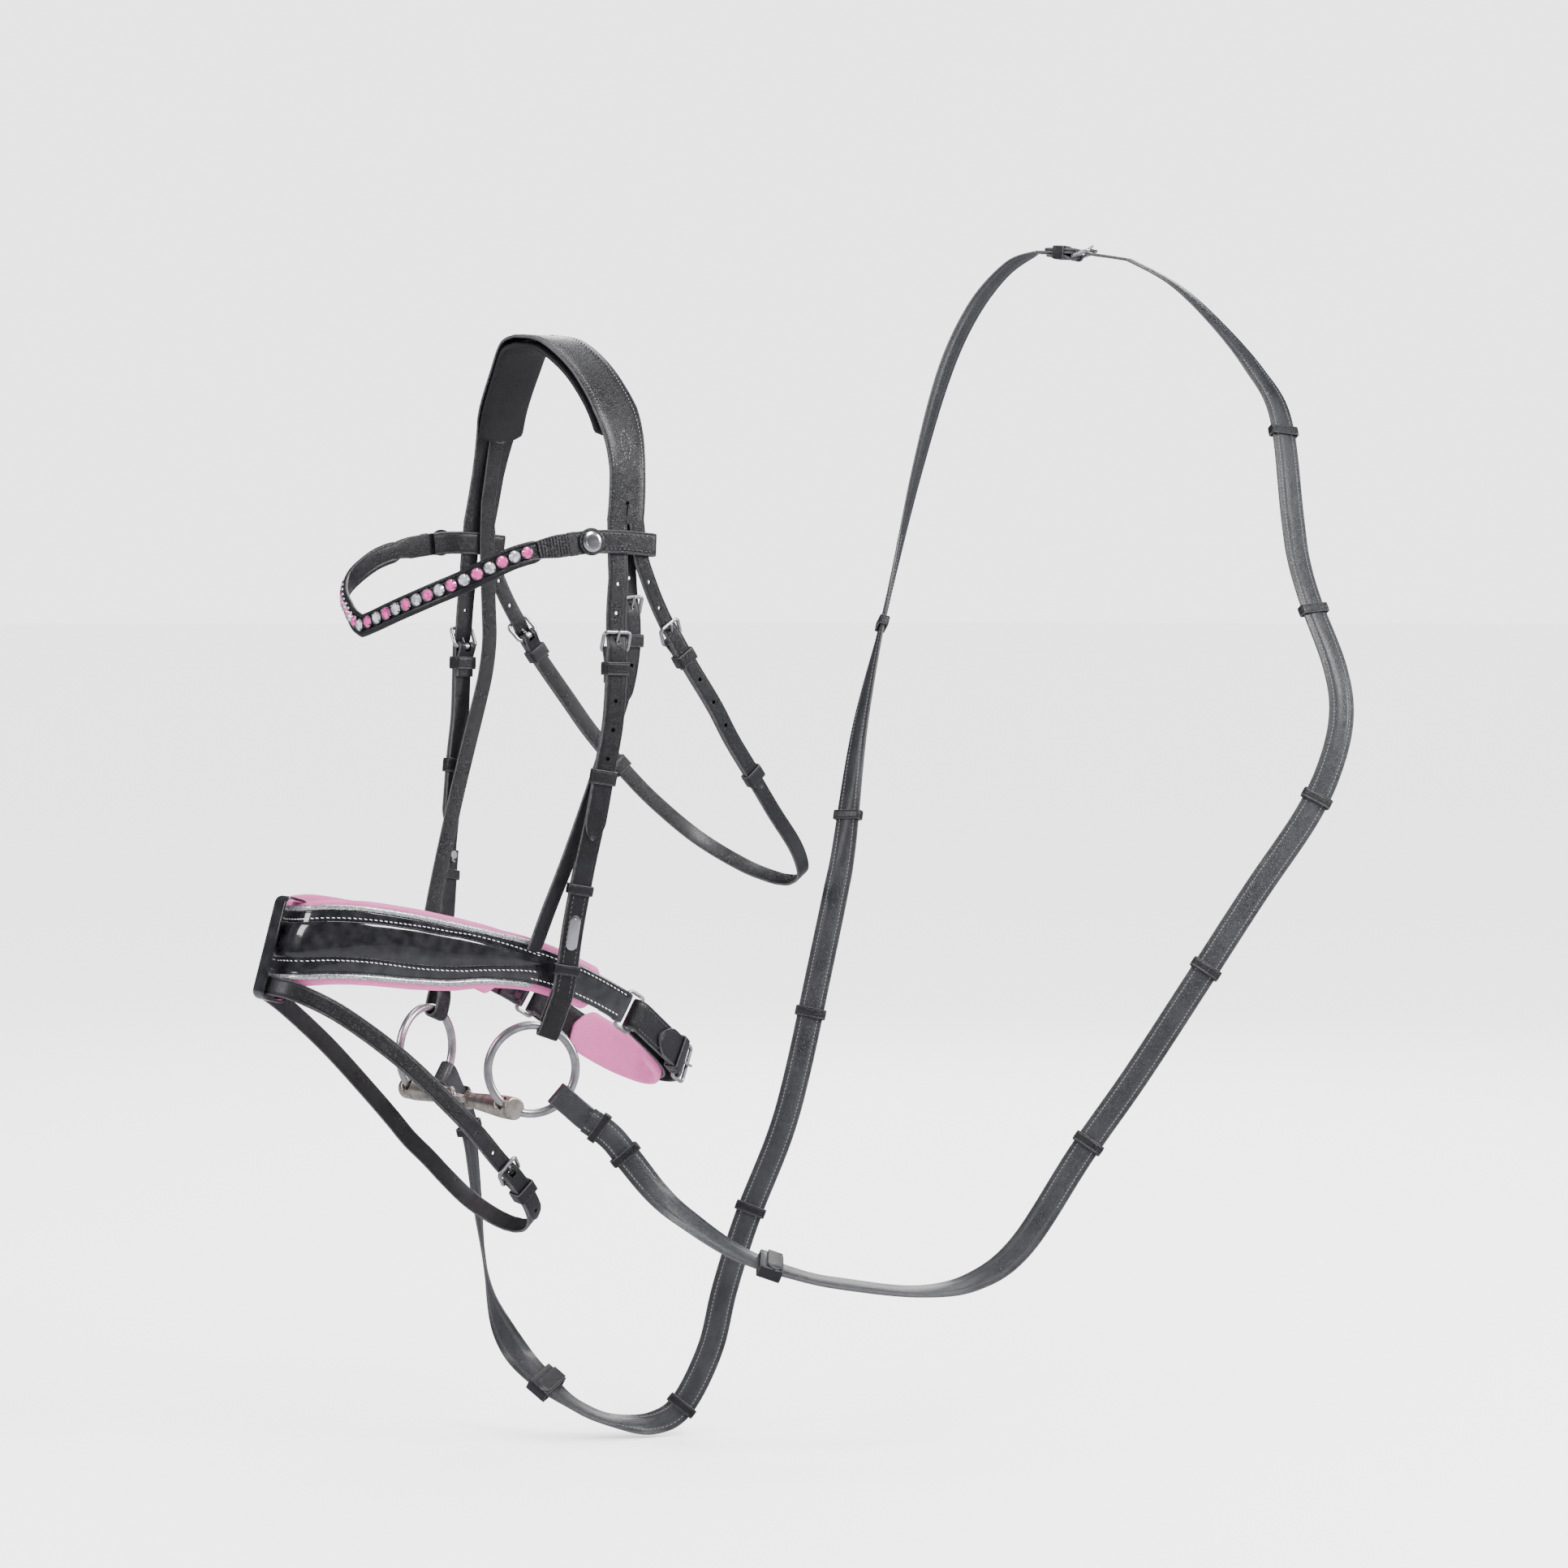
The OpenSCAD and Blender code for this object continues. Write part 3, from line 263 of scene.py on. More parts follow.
def mirrored(path):
    return [(flip(p), flip(w)) for p, w in reversed(path)]


def both_sides(path):
    return mirrored(path) + list(path[1:])


def resampled(path, step, tip=0.0, tip_step=0.0006):
    """Even steps along a path, finer over the last stretch where its tip is shaped."""
    p = np.array([q[0] for q in path])
    w = np.array([q[1] for q in path])
    d = distances(p)
    stops = np.linspace(0, d[-1] - tip, max(2, round((d[-1] - tip) / step) + 1))
    if tip:
        stops = np.concatenate([stops, np.linspace(d[-1] - tip, d[-1], round(tip / tip_step))[1:]])
    at = [np.stack([np.interp(stops, d, a[:, k]) for k in range(3)], 1) for a in (p, w)]
    return list(zip(at[0], at[1]))


class Run:
    """Frames along a path, as arrays."""

    def __init__(self, path, closed=False):
        self.p = np.array([q[0] for q in path])
        w = np.array([q[1] for q in path])
        if closed:
            ahead = np.roll(self.p, -1, 0) - np.roll(self.p, 1, 0)
        else:
            ahead = np.concatenate([[self.p[1] - self.p[0]], self.p[2:] - self.p[:-2],
                                    [self.p[-1] - self.p[-2]]])
        self.along = ahead / np.linalg.norm(ahead, axis=1)[:, None]
        out = np.cross(w, self.along)
        self.out = out / np.linalg.norm(out, axis=1)[:, None]
        self.across = np.cross(self.along, self.out)
        self.far = distances(self.p)

    def at(self, s):
        """(point, across, along, outward) at each distance in s."""
        def mix(a):
            return np.stack([np.interp(s, self.far, a[:, k]) for k in range(3)], 1)
        return mix(self.p), mix(self.across), mix(self.along), mix(self.out)


# ---- sections -------------------------------------------------------------------------------
def strap_section(crease=0.0016, groove=0.00022, crown=0.0):
    """Section of a cut strap: rounded edges, and a crease pressed in beside each."""
    def section(w, t):
        r = t * 0.46
        arc = [(w / 2 - r + r * math.cos(a),
                t / 2 - r + r * math.sin(a)) for a in np.radians([0, 35, 65, 90])]
        rim = [1, 1, 0.8, 0.3]
        inside = [(w / 2 - crease + 0.0004, t / 2), (w / 2 - crease, t / 2 - groove),
                  (w / 2 - crease - 0.0004, t / 2 + crown * 0.3), (w / 4, t / 2 + crown * 0.8)]
        right = list(zip(arc + inside, rim + [0, -0.6, 0, 0]))
        top = right + [((0, t / 2 + crown), 0)] + [((-x, y), m) for (x, y), m in reversed(right)]
        lower = [((-x, -y), m) for (x, y), m in zip(arc[1:], rim[1:])]
        bottom = lower + [((-x, y), m) for (x, y), m in reversed(lower)]
        return top + bottom
    return section


def padded_section(fullness=0.55, n=28):
    """Section of a stuffed roll or pad: a rounded oblong."""
    def section(w, t):
        ring = []
        for a in 2 * np.pi * np.arange(n) / n:
            c, s = math.cos(a), math.sin(a)
            ring.append(((w / 2 * math.copysign(abs(c) ** fullness, c),
                          t / 2 * math.copysign(abs(s) ** 0.8, s)), 0))
        return ring
    return section


def rein_section(margin=0.0042):
    """Section of a padded rein: flat edges and a raised middle on both faces."""
    def section(w, t):
        edge = t * 0.5
        r = edge * 0.48
        corner = [(w / 2 - r + r * math.cos(a), edge / 2 - r + r * math.sin(a))
                  for a in np.radians([0, 45, 90])]
        inside = [(w / 2 - margin, edge / 2 - 0.0001), (w / 2 - margin - 0.0009, t * 0.36),
                  (w / 2 - margin - 0.0022, t * 0.46), (0, t / 2)]
        right = list(zip(corner + inside, [1, 0.9, 0.4, -0.7, -0.2, 0, 0]))
        top = right + [((-x, y), m) for (x, y), m in reversed(right[:-1])]
        bottom = [((-x, -y), m) for (x, y), m in top[1:-1]]
        return top + bottom
    return section


# ---- building pieces ------------------------------------------------------------------------
def deselect():
    if bpy.context.object and bpy.context.object.mode != "OBJECT":
        bpy.ops.object.mode_set(mode="OBJECT")
    bpy.ops.object.select_all(action="DESELECT")


def choose(obj):
    deselect()
    obj.select_set(True)
    bpy.context.view_layer.objects.active = obj


def smooth(obj, angle=40):
    choose(obj)
    bpy.ops.object.shade_smooth_by_angle(angle=math.radians(angle))
    return obj


def apply_modifier(obj, kind, **values):
    choose(obj)
    modifier = obj.modifiers.new(kind.title(), kind)
    for name, value in values.items():
        setattr(modifier, name, value)
    bpy.ops.object.modifier_apply(modifier=modifier.name)


def link(name, mesh):
    obj = bpy.data.objects.new(name, mesh)
    bpy.context.scene.collection.objects.link(obj)
    return obj


def settle(obj, material, body="bridle", nodes=()):
    """Gives a finished piece its material and its body, and hides the imported nodes it stands for."""
    obj.name = obj.name.split(".")[0] + ("_made" if obj.name.split(".")[0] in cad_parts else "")
    obj.data.materials.clear()
    obj.data.materials.append(material)
    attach(obj, body)
    if nodes:
        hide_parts(*nodes)
    return obj


def ribbon(name, path, width, thick, section, tip=0.0, closed=False, first_tip=0.0):
    """Sweeps a section along a path. width and thick are numbers or functions of distance."""
    run = Run(path, closed)
    total = run.far[-1]
    verts, rims, around = [], [], []
    for i, p in enumerate(run.p):
        s = run.far[i]
        w = width(s) if callable(width) else width
        t = thick(s) if callable(thick) else thick
        narrow = 1.0
        if tip and total - s < tip:
            narrow = max(0.1, math.sin(math.pi / 2 * (total - s) / tip) ** 0.62)
        if first_tip and s < first_tip:
            narrow = max(0.1, math.sin(math.pi / 2 * s / first_tip) ** 0.62)
        ring = section(w, t)
        flat = np.array([q[0] for q in ring])
        flat[:, 0] *= narrow
        verts.append(p + flat[:, :1] * run.across[i] + flat[:, 1:] * run.out[i])
        rims.append([max(q[1], 1 - narrow if narrow < 1 else 0) if q[1] >= 0 else q[1] for q in ring])
        around.append(np.concatenate([[0], np.cumsum(np.linalg.norm(np.diff(flat, axis=0), axis=1))]))
    m, n = len(verts[0]), len(verts)
    mesh = bpy.data.meshes.new(name)
    last = n if closed else n - 1
    faces = [(i * m + j, i * m + (j + 1) % m, (i + 1) % n * m + (j + 1) % m, (i + 1) % n * m + j)
             for i in range(last) for j in range(m)]
    if not closed:
        faces += [tuple(range(m - 1, -1, -1)), tuple((n - 1) * m + j for j in range(m))]
    mesh.from_pydata(np.concatenate(verts).tolist(), [], faces)
    mesh.attributes.new("rim", "FLOAT", "POINT").data.foreach_set("value", np.array(rims, np.float32).ravel())
    uv = mesh.uv_layers.new(name="UVMap")
    u = np.repeat(run.far, m)
    v = np.concatenate(around)
    corner = np.empty(len(mesh.loops), np.int32)
    mesh.loops.foreach_get("vertex_index", corner)
    uv.data.foreach_set("uv", np.stack([u[corner], v[corner]], 1).astype(np.float32).ravel())
    outward(mesh)
    return smooth(link(name, mesh))


def outward(mesh):
    bm = bmesh.new()
    bm.from_mesh(mesh)
    bmesh.ops.recalc_face_normals(bm, faces=bm.faces)
    bm.to_mesh(mesh)
    bm.free()


def band(name, f, inner_w, inner_h, length, wall=KEEPER_WALL, radius=0.0014):
    """Closed loop of leather round a strap, in the plane across it."""
    a, b = inner_w / 2 + wall / 2, inner_h / 2 + wall / 2
    r = min(radius, a, b)
    path = []
    for cx, cy, start in ((a - r, b - r, 0), (r - a, b - r, 90), (r - a, r - b, 180), (a - r, r - b, 270)):
        for angle in np.radians(np.arange(start, start + 91, 15)):
            x, y = cx + r * math.cos(angle), cy + r * math.sin(angle)
            path.append((f[3] + f[0] * x + f[2] * y, f[1]))
    return ribbon(name, path, length, wall * 0.98, strap_section(0.0012, 0.00015), closed=True)


def joined(name, pieces):
    """One object out of several, with the first one's attributes."""
    choose(pieces[0])
    for piece in pieces[1:]:
        piece.select_set(True)
    bpy.ops.object.join()
    pieces[0].name = name
    pieces[0].data.name = name
    return pieces[0]


def thread(name, rows, material, pitch=0.0034, length=0.0024, radius=0.00033, slant=9, body="bridle"):
    """Stitches as short rounded beads of thread. A row is (path, offset, lift, start, end); offset
    and lift are numbers or functions of distance."""
    sides = 5
    ring = [(math.cos(a), math.sin(a)) for a in 2 * np.pi * np.arange(sides) / sides]
    shape = [(-0.5, 0, 0)] + [(k, x * r, y * r) for k, r in ((-0.36, 0.8), (0, 1.0), (0.36, 0.8))
                              for x, y in ring] + [(0.5, 0, 0)]
    shape = np.array(shape)
    last = len(shape) - 1
    faces = [(0, 1 + (j + 1) % sides, 1 + j) for j in range(sides)]
    faces += [(1 + k * sides + j, 1 + k * sides + (j + 1) % sides, 1 + (k + 1) * sides + (j + 1) % sides,
               1 + (k + 1) * sides + j) for k in range(2) for j in range(sides)]
    faces += [(last, last - sides + j, last - sides + (j + 1) % sides) for j in range(sides)]
    verts, polys = [], []
    for path, offset, lift, start, end in rows:
        run = Run(path)
        end = run.far[-1] - 0.001 if end is None else end
        stops = np.arange(start, end, pitch)
        if not len(stops):
            continue
        p, across, along, out = run.at(stops)
        side = np.array([offset(s) if callable(offset) else offset for s in stops])
        high = np.array([lift(s) if callable(lift) else lift for s in stops])
        p = p + across * side[:, None] + out * high[:, None]
        angle = math.radians(slant)
        forward = along * math.cos(angle) + across * math.sin(angle)
        sideways = across * math.cos(angle) - along * math.sin(angle)
        for i in range(len(stops)):
            base = len(polys) // len(faces) * len(shape)
            verts.append(p[i] + shape[:, :1] * length * forward[i] + shape[:, 1:2] * radius * sideways[i]
                         + shape[:, 2:] * radius * out[i])
            polys += [tuple(base + k for k in face) for face in faces]
    mesh = bpy.data.meshes.new(name)
    mesh.from_pydata(np.concatenate(verts).tolist(), [], polys)
    outward(mesh)
    obj = link(name, mesh)
    smooth(obj, 60)
    return settle(obj, material, body)


def mirror_piece(obj, name=None):
    """The same piece on the off side, as its own mesh."""
    mesh = obj.data.copy()
    mesh.transform(Matrix.Diagonal((-1, 1, 1, 1)))
    mesh.flip_normals()
    return link(name or obj.name + "_off", mesh)


def with_mirror(obj):
    """Joins a piece with its own mirror image."""
    return joined(obj.name, [obj, mirror_piece(obj)])


def eased(path, tip=0.0, step=0.0013, passes=2):
    """Even, fine steps along a path, with its kinks rounded."""
    path = resampled(path, step)
    p = np.array([q[0] for q in path])
    w = np.array([q[1] for q in path])
    for _ in range(passes):
        p[1:-1] = (p[:-2] + 2 * p[1:-1] + p[2:]) / 4
        w[1:-1] = (w[:-2] + 2 * w[1:-1] + w[2:]) / 4
    return resampled(list(zip(p, w)), step, tip)


def matrix_of(f):
    return Matrix([[*[float(f[k][i]) for k in range(3)], float(f[3][i])] for i in range(3)]
                  + [[0, 0, 0, 1]])


def rod(f, radius, depth, axis=None, sides=20):
    """Cylinder centred on frame f, along its outward direction or along axis."""
    deselect()
    bpy.ops.mesh.primitive_cylinder_add(vertices=sides, radius=radius, depth=depth)
    obj = bpy.context.object
    out = unit(f[2] if axis is None else axis)
    across = unit(np.cross(f[1], out))
    obj.data.transform(matrix_of([across, np.cross(out, across), out, f[3]]))
    return obj


def block(f, low, high):
    """Box between two corners, given across, along and outward in frame f."""
    deselect()
    bpy.ops.mesh.primitive_cube_add(size=1)
    obj = bpy.context.object
    low, high = np.array(low), np.array(high)
    size, middle = high - low, (low + high) / 2
    obj.data.transform(matrix_of(f) @ Matrix.Translation(middle.tolist())
                       @ Matrix.Diagonal((*size.tolist(), 1)))
    return obj


def punch(obj, cutters):
    """Cuts holes with the cutters, which go."""
    cutter = joined("cutter", cutters)
    apply_modifier(obj, "BOOLEAN", operation="DIFFERENCE", object=cutter, solver="MANIFOLD")
    bpy.data.objects.remove(cutter)
    return smooth(obj)


HOLE_BACK = 0.006
HOLE_PITCH = 0.02
HOLE_D = 0.0028
BUCKLE_L = 0.014
TONGUE_RISE = math.radians(36.5)


def hole_rods(route, bar, places):
    """Rods for the punched holes, counted from the one that the tongue is in."""
    return [rod(lifted(route.frame(bar - HOLE_BACK + k * HOLE_PITCH), LAP if k > 0 else 0), HOLE_D / 2, 0.006)
            for k in places]


def tongue_rod(route, bar):
    f = lifted(route.frame(bar), -FOLD_R)
    axis = f[2] * math.sin(TONGUE_RISE) - f[1] * math.cos(TONGUE_RISE)
    f[3] = f[3] + axis * BUCKLE_L / 2
    return rod(f, 0.0016, BUCKLE_L, axis)


def slot_block(route, bar):
    return block(lifted(route.frame(bar), -FOLD_R), (-0.0024, -0.006, -0.006), (0.0024, 0.0036, 0.006))


# ---- finishes -------------------------------------------------------------------------------
def group(name, inputs, outputs):
    tree = bpy.data.node_groups.new(name, "ShaderNodeTree")
    for label, kind, value in inputs:
        socket = tree.interface.new_socket(label, in_out="INPUT", socket_type="NodeSocket" + kind)
        if value is not None:
            socket.default_value = value
    for label, kind in outputs:
        tree.interface.new_socket(label, in_out="OUTPUT", socket_type="NodeSocket" + kind)
    return tree, tree.nodes.new("NodeGroupInput"), tree.nodes.new("NodeGroupOutput")


def add(tree, kind, values=(), **settings):
    """Node with its settings; values are its inputs by name or number, each a value or a socket."""
    node = tree.nodes.new("ShaderNode" + kind)
    for name, value in settings.items():
        setattr(node, name, value)
    for key, value in dict(values).items():
        if isinstance(value, bpy.types.NodeSocket):
            tree.links.new(value, node.inputs[key])
        else:
            node.inputs[key].default_value = value
    return node


def maths(tree, operation, a, b=0.0):
    return add(tree, "Math", {0: a, 1: b}, operation=operation).outputs[0]


def ranged(tree, value, low, high, to_low=0.0, to_high=1.0):
    return add(tree, "MapRange", {"Value": value, "From Min": low, "From Max": high, "To Min": to_low,
                                  "To Max": to_high}).outputs[0]


def blend_colours(tree, factor, a, b):
    node = add(tree, "Mix", data_type="RGBA")
    for index, value in ((0, factor), (6, a), (7, b)):
        if isinstance(value, bpy.types.NodeSocket):
            tree.links.new(value, node.inputs[index])
        else:
            node.inputs[index].default_value = value if index == 0 else (*value, 1)
    return node.outputs[2]


def build_groups():
    """Effects that several finishes share."""
    tree, into, out = group("Leather grain", [("Place", "Vector", None), ("Cells", "Float", 900.0)],
                            [("Height", "Float"), ("Mottle", "Float")])
    wander = add(tree, "TexNoise", {"Vector": into.outputs["Place"], "Scale": 260.0, "Detail": 2.0})
    moved = add(tree, "VectorMath", {0: wander.outputs["Color"], 1: (0.0012,) * 3}, operation="MULTIPLY")
    place = add(tree, "VectorMath", {0: into.outputs["Place"], 1: moved.outputs[0]},
                operation="ADD").outputs[0]
    cells = add(tree, "TexVoronoi", {"Vector": place, "Scale": into.outputs["Cells"]},
                feature="DISTANCE_TO_EDGE")
    valley = ranged(tree, cells.outputs["Distance"], 0.0, 0.16)
    fine = add(tree, "TexNoise", {"Vector": place, "Scale": 2600.0, "Detail": 3.0})
    height = maths(tree, "ADD", maths(tree, "MULTIPLY", valley, 0.7),
                   maths(tree, "MULTIPLY", fine.outputs[0], 0.5))
    broad = add(tree, "TexNoise", {"Vector": into.outputs["Place"], "Scale": 38.0, "Detail": 4.0,
                                   "Roughness": 0.65})
    tree.links.new(height, out.inputs["Height"])
    tree.links.new(ranged(tree, broad.outputs[0], 0.32, 0.7), out.inputs["Mottle"])

    tree, into, out = group("Edge wear and painted crease tone", [("Rim", "Float", 0.0), ("Place", "Vector", None)],
                            [("Cut edge", "Float"), ("Crease", "Float")])
    rough = add(tree, "TexNoise", {"Vector": into.outputs["Place"], "Scale": 420.0, "Detail": 3.0})
    worn = maths(tree, "ADD", into.outputs["Rim"], ranged(tree, rough.outputs[0], 0.3, 0.7, -0.22, 0.22))
    tree.links.new(ranged(tree, worn, 0.45, 0.95), out.inputs["Cut edge"])
    # Crease: mask of the pressed creases, where leather() paints its crease tone (painted shade on the pink)
    tree.links.new(ranged(tree, into.outputs["Rim"], -0.05, -0.5), out.inputs["Crease"])

    tree, into, out = group("Fine scratches", [("Place", "Vector", None), ("Along", "Vector", (30, 30, 900))],
                            [("Mask", "Float"), ("Height", "Float")])
    pulled = add(tree, "VectorMath", {0: into.outputs["Place"], 1: into.outputs["Along"]},
                 operation="MULTIPLY").outputs[0]
    lines = add(tree, "TexNoise", {"Vector": pulled, "Scale": 3.0, "Detail": 4.0, "Roughness": 0.7})
    clouds = add(tree, "TexNoise", {"Vector": into.outputs["Place"], "Scale": 130.0, "Detail": 3.0})
    tree.links.new(ranged(tree, clouds.outputs[0], 0.35, 0.68), out.inputs["Mask"])
    tree.links.new(lines.outputs[0], out.inputs["Height"])


def use(tree, name, values):
    node = tree.nodes.new("ShaderNodeGroup")
    node.node_tree = bpy.data.node_groups[name]
    for key, value in values.items():
        if isinstance(value, bpy.types.NodeSocket):
            tree.links.new(value, node.inputs[key])
        else:
            node.inputs[key].default_value = value
    return node


def surface(name, **plain):
    """New material; plain holds the Principled sockets that are the same all over."""
    material = bpy.data.materials.new(name)
    material.use_nodes = True
    tree = material.node_tree
    shader = tree.nodes["Principled BSDF"]
    for key, value in plain.items():
        socket = shader.inputs[key.replace("_", " ")]
        socket.default_value = (*value, 1) if isinstance(value, tuple) else value
    place = add(tree, "TexCoord").outputs["Object"]
    return material, tree, shader, place


def bump(tree, shader, height, distance, strength=1.0):
    node = add(tree, "Bump", {"Height": height, "Distance": distance, "Strength": strength})
    tree.links.new(node.outputs[0], shader.inputs["Normal"])


def leather(name, body, mottled, edge, rough, cells, depth, coat=0.16, coat_rough=0.25, crease=None):
    """Dyed leather: grain, mottling, paler cut edges, and a painted tone in the pressed creases: painted
    shade where a darker crease colour is given, otherwise a paler line.
    """
    material, tree, shader, place = surface(name, Coat_Weight=coat, Coat_Roughness=coat_rough,
                                            Specular_IOR_Level=0.42)
    grain = use(tree, "Leather grain", {"Place": place, "Cells": cells})
    rim = add(tree, "Attribute", attribute_name="rim")
    marks = use(tree, "Edge wear and painted crease tone", {"Rim": rim.outputs["Fac"], "Place": place})
    colour = blend_colours(tree, grain.outputs["Mottle"], body, mottled)
    # crease tone: painted shade in the creases where a darker crease colour is given (the pink padding); with
    # none given, a paler line at 2.2 times the body colour
    colour = blend_colours(tree, marks.outputs["Crease"], colour, crease or tuple(2.2 * c for c in body))
    colour = blend_colours(tree, marks.outputs["Cut edge"], colour, edge)
    tree.links.new(colour, shader.inputs["Base Color"])
    base = ranged(tree, grain.outputs["Mottle"], 0.0, 1.0, rough - 0.05, rough + 0.07)
    tree.links.new(maths(tree, "ADD", base, maths(tree, "MULTIPLY", marks.outputs["Cut edge"], 0.15)),
                   shader.inputs["Roughness"])
    bump(tree, shader, grain.outputs["Height"], depth, 0.8)
    return material


def metal(name, colour, worn, rough, along=(30, 30, 900)):
    """Satin metal with fine brushing and rubbed, duller patches."""
    material, tree, shader, place = surface(name, Metallic=1.0)
    marks = use(tree, "Fine scratches", {"Place": place, "Along": along})
    tree.links.new(blend_colours(tree, marks.outputs["Mask"], colour, worn), shader.inputs["Base Color"])
    tree.links.new(ranged(tree, marks.outputs["Mask"], 0.0, 1.0, rough, rough + 0.12),
                   shader.inputs["Roughness"])
    bump(tree, shader, marks.outputs["Height"], 0.00002, 0.5)
    return material


def sewing_thread(name, colour, shade):
    """Waxed thread with the twist of its plies."""
    material, tree, shader, place = surface(name, Roughness=0.55, Sheen_Weight=0.2)
    twist = add(tree, "TexWave", {"Vector": place, "Scale": 620.0, "Distortion": 1.5},
                bands_direction="DIAGONAL")
    tree.links.new(blend_colours(tree, twist.outputs["Fac"], shade, colour), shader.inputs["Base Color"])
    bump(tree, shader, twist.outputs["Fac"], 0.00006)
    return material


def cut_glass(name, colour, deep, metallic):
    """Foil-backed cut glass: each facet is a little different in tone."""
    material, tree, shader, place = surface(name, Roughness=0.07, Metallic=metallic, Coat_Weight=1.0,
                                            Coat_Roughness=0.03, IOR=1.6)
    facets = add(tree, "TexVoronoi", {"Vector": place, "Scale": 420.0})
    tone = add(tree, "SeparateColor", {"Color": facets.outputs["Color"]})
    tree.links.new(blend_colours(tree, tone.outputs[0], colour, deep), shader.inputs["Base Color"])
    tilt = maths(tree, "MULTIPLY", tone.outputs[1], 1.0)
    bump(tree, shader, tilt, 0.0002, 0.35)
    return material


def glitter(name):
    """Flakes of silver glitter set in clear resin, each tipped its own way."""
    material, tree, shader, place = surface(name, Metallic=0.85, Coat_Weight=0.6, Coat_Roughness=0.15)
    flakes = add(tree, "TexVoronoi", {"Vector": place, "Scale": 1500.0})
    tone = add(tree, "SeparateColor", {"Color": flakes.outputs["Color"]})
    tree.links.new(blend_colours(tree, tone.outputs[0], (0.24, 0.24, 0.27), (0.95, 0.95, 0.97)),
                   shader.inputs["Base Color"])
    tree.links.new(ranged(tree, tone.outputs[1], 0.0, 1.0, 0.12, 0.45), shader.inputs["Roughness"])
    bump(tree, shader, tone.outputs[2], 0.0005, 1.0)
    return material


def patent(name):
    """Lacquered leather: a deep clear coat that is not quite flat."""
    material, tree, shader, place = surface(name, Coat_Weight=1.0, Coat_Roughness=0.04,
                                            Specular_IOR_Level=0.6)
    waves = add(tree, "TexNoise", {"Vector": place, "Scale": 70.0, "Detail": 2.0})
    dust = use(tree, "Fine scratches", {"Place": place, "Along": (400, 400, 400)})
    tree.links.new(blend_colours(tree, dust.outputs["Mask"], (0.004, 0.004, 0.005), (0.012, 0.012, 0.014)),
                   shader.inputs["Base Color"])
    tree.links.new(ranged(tree, dust.outputs["Mask"], 0.0, 1.0, 0.1, 0.2), shader.inputs["Roughness"])
    bump(tree, shader, waves.outputs[0], 0.0006, 0.35)
    return material


FINISH = {}


def build_finishes(looks):
    build_groups()
    black = tuple(looks.leather_colour)
    soft_black = tuple(1.6 * c for c in black)
    edge = tuple(looks.edge_colour)
    pink = tuple(looks.lining_colour)
    FINISH.update(
        leather=leather("Black bridle leather", black, soft_black, edge, 0.3, 950.0, 0.00012),
        crown=leather("Soft black crown leather", black, soft_black, edge, 0.33, 700.0, 0.0002),
        lining=leather("Black lining leather", black, soft_black, edge, 0.55, 600.0, 0.00025, coat=0.1),
        rein=leather("Rein leather", (0.010, 0.0105, 0.012), (0.018, 0.018, 0.021), edge, 0.33, 800.0,
                     0.00016),
        emboss=leather("Embossed leather", black, soft_black, edge, 0.34, 420.0, 0.0006),
        patent=patent("Black patent leather"),
        # the pink's crease colour, 0.6 of its own, is painted shade in its creases
        pink=leather("Pink padded leather", pink, tuple(0.86 * c for c in pink), tuple(0.7 * c for c in pink),
                     0.5, 520.0, 0.00022, coat=0.12, crease=tuple(0.6 * c for c in pink)),
        glitter=glitter("Silver glitter piping"),
        steel=metal("Satin steel", (0.78, 0.775, 0.79), (0.46, 0.46, 0.48), 0.26),
        polished=metal("Polished steel", (0.86, 0.86, 0.88), (0.8, 0.8, 0.82), 0.12),
        claws=metal("Stone settings", (0.7, 0.7, 0.73), (0.4, 0.4, 0.42), 0.2),
        alloy=metal("Mouthpiece alloy", (0.78, 0.73, 0.66), (0.42, 0.37, 0.3), 0.3, (900, 40, 40)),
        white=sewing_thread("White thread", (0.86, 0.86, 0.88), (0.5, 0.5, 0.52)),
        grey=sewing_thread("Grey thread", (0.16, 0.16, 0.17), (0.07, 0.07, 0.075)),
        black=sewing_thread("Black thread", (0.05, 0.05, 0.055), (0.015, 0.015, 0.017)),
        pink_stone=cut_glass("Pink crystal", tuple(looks.stone_colour), (0.42, 0.04, 0.2), 0.45),
        clear_stone=cut_glass("Clear crystal", (0.9, 0.91, 0.94), (0.3, 0.32, 0.37), 0.6),
    )


# ---- pieces used on several straps ----------------------------------------------------------
STRAP = strap_section()
PLAIN = strap_section(0.0012, 0.00008)


def keeper_at(name, route, s, width, low, high, length, room=0.00035):
    """Leather loop round everything between two heights of the route."""
    f = lifted(route.frame(s), (low + high) / 2)
    return band(name, f, width + 2 * room, high - low + 2 * room, length)


def full_keeper(name, route, s, width, room=0.00035):
    return keeper_at(name, route, s, width, -LAP - STRAP_T / 2, LAP + STRAP_T / 2, 0.009, room)


def copied_node(name, node):
    """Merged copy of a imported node's mesh, ready to shape."""
    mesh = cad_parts[node].data.copy()
    bm = bmesh.new()
    bm.from_mesh(mesh)
    bmesh.ops.remove_doubles(bm, verts=bm.verts, dist=0.00002)
    bm.to_mesh(mesh)
    bm.free()
    return link(name, mesh)


def finish_nodes(finish, *names):
    """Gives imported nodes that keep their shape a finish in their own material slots."""
    for name in names:
        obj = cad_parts[name]
        for index in range(len(obj.material_slots)):
            obj.material_slots[index].material = FINISH[finish]


# ---- reins ----------------------------------------------------------------------------------
def faced(points, faces, n=8):
    """Line through the points, with width directions square to the given faces."""
    p, face = smooth_line(points, n), smooth_line(faces, n)
    out = []
    for i in range(len(p)):
        along = unit(p[min(i + 1, len(p) - 1)] - p[max(i - 1, 0)])
        out.append((p[i], unit(np.cross(along, unit(face[i])))))
    return out


